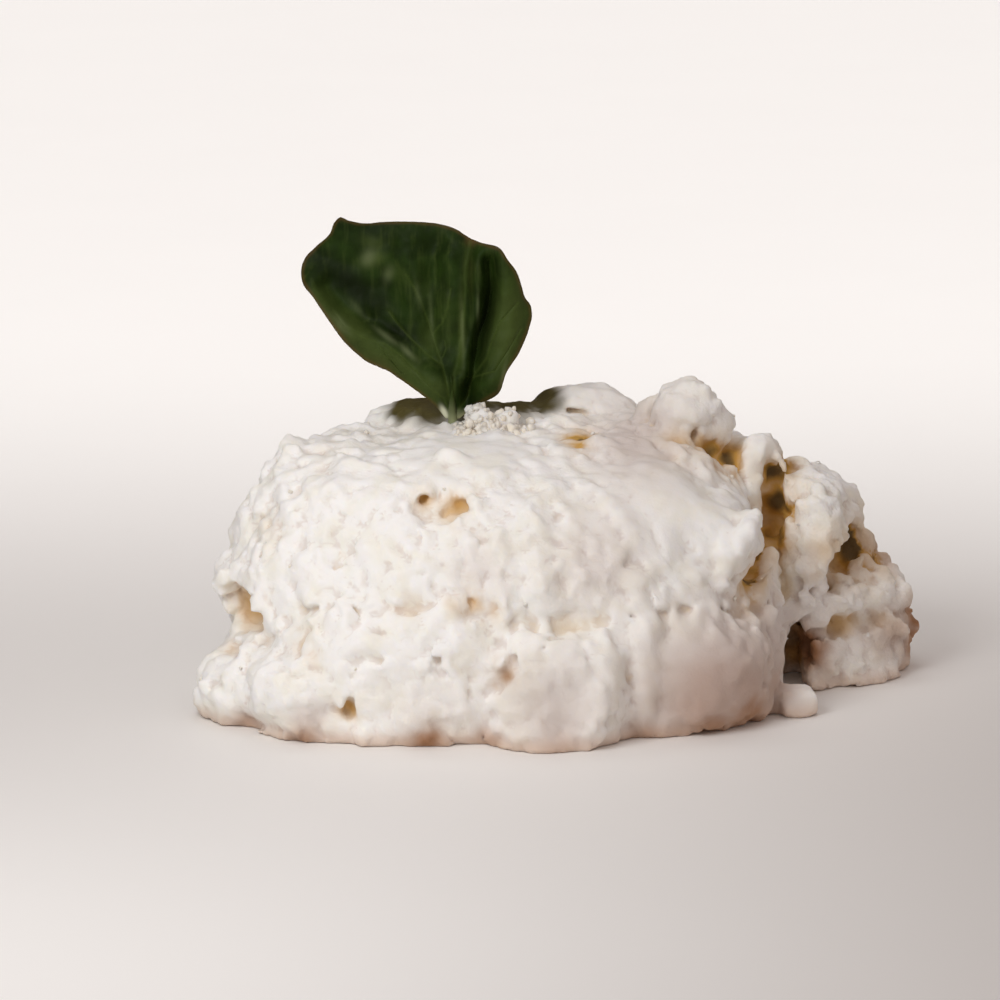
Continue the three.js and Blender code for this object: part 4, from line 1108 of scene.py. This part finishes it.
def new_material(name):
    """An empty material: returns it, its node tree and its output node."""
    material = bpy.data.materials.new(name)
    material.use_nodes = True
    tree = material.node_tree
    tree.nodes.clear()
    return material, tree, tree.nodes.new("ShaderNodeOutputMaterial")


def paint(piece, material):
    """Give a piece one material."""
    piece.data.materials.clear()
    piece.data.materials.append(material)
    print(piece.name, "painted with", material.name, "of", len(material.node_tree.nodes), "nodes")


# %% [markdown]
# ## Fresh ricotta
#
# Ricotta is milk protein set by heat and drained in a basket: matt, wet enough not to look dusty, and a
# slightly warm white. Light scatters a few millimetres inside it, which softens every small shadow; red light
# travels farthest, which warms the pits. So the skin is a rough Principled BSDF with subsurface scattering.
# What lies in a hollow is stained by whey, straw yellow at first, and shade is painted over it: brown in
# deep hollows and the gorge, pink in creases and on faces turned from the light, olive where the leaf's
# shadow falls. Stains let less light through. The foot has painted contact shade and the beige and brown
# bounce of a table. Grains too small for the mesh are a bump: rounded cells 0.8 mm apart, with 0.5 mm
# noise over them.

# %% Fresh ricotta
CURD_WHITE = "#fbfaf6"
CURD_CREAM = "#f6f4ec"
CRUMB_CREAM = "#f6eddc"
# The colours below paint shade as well as whey: brown and gold shade in hollows and the gorge, the leaf's
# olive shadow, contact shade and bounce at the foot, and pink shade on faces turned from the light.
WHEY_PALE_AND_SHADE = "#e8d8ba"
WHEY_GOLD_AND_SHADE = "#cda04f"
WHEY_AND_SHADE_DARK = "#6b5733"
LEAF_SHADOW_OLIVE = "#51491f"
FOOT_SHADE_BEIGE = "#dcbfa9"
RIM_SHADE_BROWN = "#a67a58"
RIM_SHADE_DARK = "#56361f"
SHADE_PINK = "#cfc1ba"
CREAM_MM = 6  # across the clouds of cream in the white
GRAIN_MM, FINE_GRAIN_MM, GRAIN_HEIGHT_MM = 0.8, 0.5, 0.35
GRAIN_SMOOTH, GRAIN_CRAGGY = 0.1, 0.6  # strength of the bump
SCATTER_MM = 2.0
SCATTER_CLEAN, SCATTER_STAINED = 0.5, 0.1

CREAM_LAYERS = [("cream", (0.45, 0.65, 0, 1), CURD_CREAM)]
# Pink painted shade on faces turned from the light and in creases, whey with painted shade in hollows and the
# gorge, the leaf's painted shadow, and painted contact shade with bounce at the foot and the right end
MOUND_LAYERS = [
    ("painted_shade", None, SHADE_PINK),
    ("small_hollow", (0.52, 0.68, 0, 0.4), SHADE_PINK),
    ("small_hollow", (0.66, 0.9, 0, 0.5), WHEY_PALE_AND_SHADE),
    ("large_hollow", (0.6, 0.82, 0, 0.8), WHEY_PALE_AND_SHADE),
    ("whey_and_shade", None, WHEY_GOLD_AND_SHADE),
    ("whey_and_shade", (0.9, 1.4, 0, 1), WHEY_AND_SHADE_DARK),
    ("leaf_shadow", (0.2, 0.75, 0, 1), LEAF_SHADOW_OLIVE),
    ("height", (4 * MM, 0, 0, 0.7), FOOT_SHADE_BEIGE),
    ("rim", None, RIM_SHADE_BROWN),
    ("rim", (0.9, 1.4, 0, 1), RIM_SHADE_DARK),
]
print("stains in layers on the mound:", len(MOUND_LAYERS))


# %% The curd's skin
def ricotta_material(name, white, layers, attributes):
    """Scattering curd under layers of stain and painted shade. Without attributes it is evenly smooth and
    scatters evenly.
    """
    material, tree, output = new_material(name)
    place = add_node(tree, "ShaderNodeTexCoord").outputs["Object"]
    shares = {
        share: add_node(tree, "ShaderNodeAttribute", attribute_name=share).outputs["Fac"]
        for share in attributes
    }
    shares["height"] = add_node(tree, "ShaderNodeSeparateXYZ", {"Vector": place}).outputs["Z"]
    clouds = add_node(tree, "ShaderNodeTexNoise", {"Vector": place, "Scale": 1 / (CREAM_MM * MM)})
    shares["cream"] = clouds.outputs["Fac"]
    colour = coat(tree, white, shares, layers)
    cells = {"Vector": place, "Scale": 1 / (GRAIN_MM * MM)}
    cells = add_node(tree, "ShaderNodeTexVoronoi", cells, feature="SMOOTH_F1").outputs["Distance"]
    fine = {"Vector": place, "Scale": 1 / (FINE_GRAIN_MM * MM), "Detail": 3}
    fine = add_node(tree, "ShaderNodeTexNoise", fine).outputs["Fac"]
    grains_height = add_node(tree, "ShaderNodeMath", {0: cells, 1: -0.6, 2: fine}, operation="MULTIPLY_ADD")
    strength, scatter = GRAIN_SMOOTH, SCATTER_CLEAN
    if attributes:
        rough = {"Value": shares["craggy"], **limits(0.5, 1.7, GRAIN_SMOOTH, GRAIN_CRAGGY)}
        strength = add_node(tree, "ShaderNodeMapRange", rough, **SOFT_STEP).outputs["Result"]
        stained = {"Value": shares["whey_and_shade"], **limits(0, 1, SCATTER_CLEAN, SCATTER_STAINED)}
        scatter = add_node(tree, "ShaderNodeMapRange", stained, **SOFT_STEP).outputs["Result"]
    bump = {"Height": grains_height.outputs[0], "Strength": strength, "Distance": GRAIN_HEIGHT_MM * MM}
    skin = {
        "Base Color": colour,
        "Normal": add_node(tree, "ShaderNodeBump", bump).outputs["Normal"],
        "Roughness": 0.7,
        "IOR": 1.36,
        "Subsurface Weight": scatter,
        "Subsurface Radius": (1.0, 0.9, 0.75),
        "Subsurface Scale": SCATTER_MM * MM,
    }
    skin = add_node(tree, "ShaderNodeBsdfPrincipled", skin)
    tree.links.new(skin.outputs["BSDF"], output.inputs["Surface"])
    return material


paint(ricotta, ricotta_material("fresh_ricotta_curd", CURD_WHITE, CREAM_LAYERS + MOUND_LAYERS, shares))
paint(crumbs, ricotta_material("ricotta_crumb", CRUMB_CREAM, CREAM_LAYERS, []))

# %% [markdown]
# ## Shares on the leaf
#
# A fresh basil leaf is dark green with paler veins, dry brown margins and a pale scar by its stalk. Over
# that lies painted light on the rolled edge and on places turned to the light, painted highlights on
# blisters, ridges and veins, and painted shade in the cup and the folds. Painting them by hand would need
# an image, so the shares are worked out at the vertices: `vein`, `band` and `margin` from distances to
# lines, and the rest from patches.

# %% Shares on the leaf
BAND = [(-43, 70), (-38.5, 63.4), (-33, 59.6), (-28, 56.4), (-23, 52)]  # the rolled edge
BAND_WIDTH = 3.0
MARGIN_WIDTH = 0.5
STALK_TOP, STALK_FADE = 50, 3

# Brown and scar are the leaf's own tones; the other patches are painted light, shade and highlights.
LEAF_TONES = {  # x, z, two half-widths, turn in degrees and strength of each patch
    # painted light: the right lobe and other faces turned to the light, blisters and ridges
    "leaf_lit": [
        (-8.4, 64.5, 4.6, 13, -8, 0.75), (-33.4, 80.4, 2.8, 1.6, -20, 0.5), (-33, 77, 2.8, 1.6, 20, 0.6),
        (-29, 74.6, 3, 1.8, -30, 0.4), (-24, 71, 2.5, 4, 0, 0.25), (-19.5, 66, 2, 9, 5, 0.3),
        (-22, 53, 3.4, 4, 40, 0.4), (-35.6, 63, 6, 1.2, -42, 0.5), (-28, 58, 6, 1, -42, 0.5),
        (-36.4, 65, 4.5, 1.8, -45, 0.7), (-23, 62, 2.4, 5, 0, 0.5), (-17.2, 64, 0.8, 9, 0, 0.7),
    ],
    # painted shade in the cup, the deep fold, the curled edges and by the stalk
    "leaf_shade": [
        (-36.4, 72, 9.5, 3.4, -40, 0.8), (-29.6, 64.2, 5, 1.7, -38, 0.7), (-43.5, 76, 3.4, 5.5, 10, 0.5),
        (-27, 82.4, 16, 2.6, 0, 0.4), (-12.6, 66, 1.5, 11, -10, 0.7), (-15.6, 51, 1.6, 3, 10, 0.7),
    ],
    # painted highlights on blisters, the rolled ridge and the veins
    "leaf_highlight": [
        (-34, 77.6, 1.6, 2.2, -35, 0.5), (-30.4, 74.4, 1.2, 2, -20, 0.4), (-36, 68, 3, 0.8, -50, 0.3),
        (-30.7, 62.8, 3.4, 0.7, -38, 0.55), (-27, 60, 2.6, 0.7, -45, 0.55), (-39, 65.4, 3, 1, -48, 0.4),
        (-17, 64, 0.45, 7, 2, 0.4), (-14.2, 68, 0.35, 3, 0, 0.45), (-9.6, 55.6, 0.5, 4, -12, 0.4),
        (-22.6, 66, 0.5, 5, 3, 0.3), (-25, 70.5, 0.6, 4, 10, 0.3),
    ],
    "leaf_scar": [
        (-20.3, 48.7, 0.6, 1.5, 25, 1),
    ],
    "leaf_brown": [
        (-41, 63, 3, 6, 35, 0.4), (-31, 56.5, 5, 2, -38, 0.35), (-15.4, 80.4, 1.3, 1.3, 0, 0.7),
        (-15.5, 74, 1, 6, 0, 0.2),
    ],
}


def patch_share(x, z, patches):
    """The strongest of the soft patches at each point, strength * exp(-r²)."""
    total = np.zeros(len(x))
    for cx, cz, a, b, turn, strength in patches:
        c, s = np.cos(np.radians(turn)), np.sin(np.radians(turn))
        u, v = (x - cx) * c + (z - cz) * s, -(x - cx) * s + (z - cz) * c
        total = np.maximum(total, strength * np.exp(-((u / a) ** 2) - (v / b) ** 2))
    return total


leaf_places = vertices_of(leaf).astype(float)
leaf_x = leaf_places[:, 0]
leaf_z = leaf_places[:, 2] + LOOK_DOWN * (leaf_places[:, 1] - LEAF_PLANE_Y)
margin = np.minimum(line_distance(leaf_x, leaf_z, MARGIN_LEFT), line_distance(leaf_x, leaf_z, MARGIN_RIGHT))
leaf_shares = {name: patch_share(leaf_x, leaf_z, patches) for name, patches in LEAF_TONES.items()}
leaf_shares["vein"] = vein_strength(leaf_x, leaf_z)
# painted light: the rolled edge faces the light and is drawn paler
leaf_shares["band"] = np.exp(-((line_distance(leaf_x, leaf_z, BAND) / BAND_WIDTH) ** 2))
leaf_shares["margin"] = np.exp(-((margin / MARGIN_WIDTH) ** 2))
leaf_shares["stalk"] = np.clip((STALK_TOP - leaf_z) / STALK_FADE, 0, 1)
for name, values in leaf_shares.items():
    set_attribute(leaf, name, values)
    print(f"{name}: {values.min():.2f} to {values.max():.2f}")

# %% [markdown]
# ## Basil
#
# The leaf's waxy skin is smooth over blisters, so it shines only softly: a Principled BSDF of roughness 0.6
# and low specular level. Its green varies by noise in 5 mm clouds and in streaks 1.1 mm wide that run up the
# blade. Leaf cells are far too fine to see, so the bump draws them 0.5 mm across.

# %% Basil
BASIL_DARK = "#172605"
BASIL_GREEN = "#22350b"
BASIL_PALE = "#4c5c28"
# pale green for the streaks and for painted light, and dark green for painted shade
BASIL_STREAK_AND_LIT = "#465426"
BASIL_SHADE = "#0d1602"
BASIL_STALK = "#b9bf93"
BASIL_BROWN = "#5a4426"
BASIL_SCAR = "#cfd2b8"
# misty green for painted highlights
BASIL_HIGHLIGHT = "#75805a"
CLOUD_MM, STREAK_MM, CELL_MM, CELL_HEIGHT_MM = 5, 1.1, 0.5, 0.1

# Clouds, streaks, veins, margin, stalk, brown and scar are the leaf's own colour; the lit, band, shade and
# highlight layers are painted light and shade.
BASIL_LAYERS = [
    ("clouds", (0.35, 0.65, 0, 1), BASIL_GREEN),
    ("streaks", (0.45, 0.75, 0, 0.35), BASIL_STREAK_AND_LIT),
    ("leaf_lit", (0, 1, 0, 1), BASIL_STREAK_AND_LIT),
    ("band", (0, 1, 0, 0.6), BASIL_STREAK_AND_LIT),
    ("leaf_brown", (0, 1, 0, 0.8), BASIL_BROWN),
    ("leaf_shade", (0, 1, 0, 1), BASIL_SHADE),
    ("vein", (0, 1, 0, 0.3), BASIL_PALE),
    ("margin", (0, 1, 0, 0.5), BASIL_BROWN),
    ("stalk", (0, 1, 0, 0.6), BASIL_STALK),
    ("leaf_highlight", (0, 1, 0, 1), BASIL_HIGHLIGHT),
    ("leaf_scar", (0, 1, 0, 1), BASIL_SCAR),
]
print("tints in layers on the leaf:", len(BASIL_LAYERS))


# %% The leaf's skin
def basil_material():
    """A leaf's waxy skin over green."""
    material, tree, output = new_material("basil_leaf_green")
    place = add_node(tree, "ShaderNodeTexCoord").outputs["Object"]
    upright = add_node(tree, "ShaderNodeMapping", {"Vector": place, "Scale": (1, 1, 0.12)}).outputs["Vector"]
    shares = {
        share: add_node(tree, "ShaderNodeAttribute", attribute_name=share).outputs["Fac"]
        for share in leaf_shares
    }
    for name, at, size, detail in (
        ("clouds", place, CLOUD_MM, 2),
        ("streaks", upright, STREAK_MM, 3),
        ("cells", place, CELL_MM, 2),
    ):
        noise = {"Vector": at, "Scale": 1 / (size * MM), "Detail": detail}
        shares[name] = add_node(tree, "ShaderNodeTexNoise", noise).outputs["Fac"]
    bump = {"Height": shares["cells"], "Strength": 0.35, "Distance": CELL_HEIGHT_MM * MM}
    skin = {
        "Base Color": coat(tree, BASIL_DARK, shares, BASIL_LAYERS),
        "Normal": add_node(tree, "ShaderNodeBump", bump).outputs["Normal"],
        "Roughness": 0.6,
        "IOR": 1.33,
        "Specular IOR Level": 0.2,
    }
    skin = add_node(tree, "ShaderNodeBsdfPrincipled", skin)
    tree.links.new(skin.outputs["BSDF"], output.inputs["Surface"])
    return material


paint(leaf, basil_material())

# %% [markdown]
# ## Floor and light
#
# The floor is a wide pale disc, so that its edge is out of sight from every side. A soft window of light
# stands close by at the front left, and makes the shadows that show the curds. A second panel hangs over the
# far floor and keeps it pale. A weak glow comes from all round, as from the walls of a room: bright from
# above, a little to the right, and warm and dim from the other side, so that the shadows are warm.

# %% Floor and light
FLOOR_COLOUR = "#f3f2f0"
FLOOR_CLOUD = "#f1f0ee"
FLOOR_CLOUD_MM = 60
FLOOR_RADIUS = 12.0


def make_floor():
    """A flat disc under everything."""
    rim = bmesh.new()
    bmesh.ops.create_circle(rim, cap_ends=True, segments=96, radius=FLOOR_RADIUS)
    mesh = bpy.data.meshes.new("floor")
    rim.to_mesh(mesh)
    rim.free()
    floor = bpy.data.objects.new("floor", mesh)
    bpy.context.collection.objects.link(floor)
    material, tree, output = new_material("pale_floor")
    place = add_node(tree, "ShaderNodeTexCoord").outputs["Object"]
    clouds = add_node(tree, "ShaderNodeTexNoise", {"Vector": place, "Scale": 1 / (FLOOR_CLOUD_MM * MM)})
    colour = coat(tree, FLOOR_COLOUR, {"clouds": clouds.outputs["Fac"]}, [("clouds", None, FLOOR_CLOUD)])
    skin = add_node(tree, "ShaderNodeBsdfPrincipled", {"Base Color": colour, "Roughness": 0.7})
    tree.links.new(skin.outputs["BSDF"], output.inputs["Surface"])
    paint(floor, material)


make_floor()

# %% Panels of light
KEY_FROM = (-0.42, -0.7, 0.6)  # direction from the mound towards the light
KEY_DISTANCE = 0.3
KEY_HEIGHT = 0.02  # of the point that it shines at
KEY_SIZE = (0.13, 0.13)  # width and height
KEY_WATTS = 0.4
BACK_FROM = (0.0, 0.7, 0.4)
BACK_SIZE = (2.0, 1.2)
BACK_WATTS = 6.0
BACK_SPREAD = 70.0  # degrees


def make_panel(name, place, facing, size, watts):
    """An oblong soft light at a place, shining the opposite way to `facing`."""
    light = bpy.data.lights.new(name, "AREA")
    light.energy = watts
    light.shape = "RECTANGLE"
    light.size, light.size_y = size
    lamp = bpy.data.objects.new(name, light)
    lamp.location = place
    lamp.rotation_euler = Vector(facing).to_track_quat("Z", "Y").to_euler()
    bpy.context.collection.objects.link(lamp)
    return light


key_way = Vector(KEY_FROM).normalized()
key_place = key_way * KEY_DISTANCE + Vector((0, 0, KEY_HEIGHT))
make_panel("window", key_place, key_way, KEY_SIZE, KEY_WATTS)
back_panel = make_panel("back_panel", BACK_FROM, (0, 0, 1), BACK_SIZE, BACK_WATTS)
back_panel.spread = np.radians(BACK_SPREAD)
print("window", KEY_WATTS, "W, back panel", BACK_WATTS, "W")

# %% Glow from all round
GLOW_FROM = (0.3, -0.42, 0.85)
GLOW_BRIGHT = "#fff0ea"
GLOW_DIM = "#523626"
GLOW_STRENGTH = 0.5


def make_world():
    """A glow whose brightness follows the cosine of the angle from GLOW_FROM, eased."""
    world = bpy.data.worlds.new("room_glow")
    world.use_nodes = True
    bpy.context.scene.world = world
    tree = world.node_tree
    way = add_node(tree, "ShaderNodeTexCoord").outputs["Generated"]
    bright_way = Vector(GLOW_FROM).normalized()
    toward = add_node(tree, "ShaderNodeVectorMath", {0: way, 1: bright_way}, operation="DOT_PRODUCT")
    shares = {"toward": toward.outputs["Value"]}
    glow = tree.nodes["Background"]
    colour = coat(tree, GLOW_DIM, shares, [("toward", (0.0, 1.0, 0, 1), GLOW_BRIGHT)])
    tree.links.new(colour, glow.inputs["Color"])
    glow.inputs["Strength"].default_value = GLOW_STRENGTH


make_world()
print("glow", GLOW_STRENGTH)

# %% [markdown]
# ## Camera
#
# A long lens from nearly a metre away keeps the far side of the heap almost as large as the near side, as in
# a close view of food. It looks 13 degrees down, so that the top shows as a narrow band.

# %% Camera
CAMERA_LENS = 180
CAMERA_DISTANCE = 0.908
CAMERA_DOWN = 13  # degrees
CAMERA_TARGET = (-10.2, 0, 32.8)  # in the millimetres of the lists above


def make_camera():
    """A camera at target + distance * (0, -cos, sin) of its angle down, looking along +y."""
    data = bpy.data.cameras.new("camera")
    data.lens = CAMERA_LENS
    data.sensor_width = 36
    data.clip_start = 0.01
    data.clip_end = 40
    camera = bpy.data.objects.new("camera", data)
    down = np.radians(CAMERA_DOWN)
    target = (np.array(CAMERA_TARGET) - CENTRE) * MM
    camera.location = target + CAMERA_DISTANCE * np.array((0, -np.cos(down), np.sin(down)))
    camera.rotation_euler = (np.pi / 2 - down, 0, 0)
    bpy.context.collection.objects.link(camera)
    bpy.context.scene.camera = camera
    print("camera at", camera.location[:])


make_camera()
bpy.context.scene.view_settings.view_transform = "Standard"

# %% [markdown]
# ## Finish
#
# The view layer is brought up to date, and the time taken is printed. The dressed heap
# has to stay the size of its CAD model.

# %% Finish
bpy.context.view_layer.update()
print(f"finished in {time.time() - start_time:.0f} s")
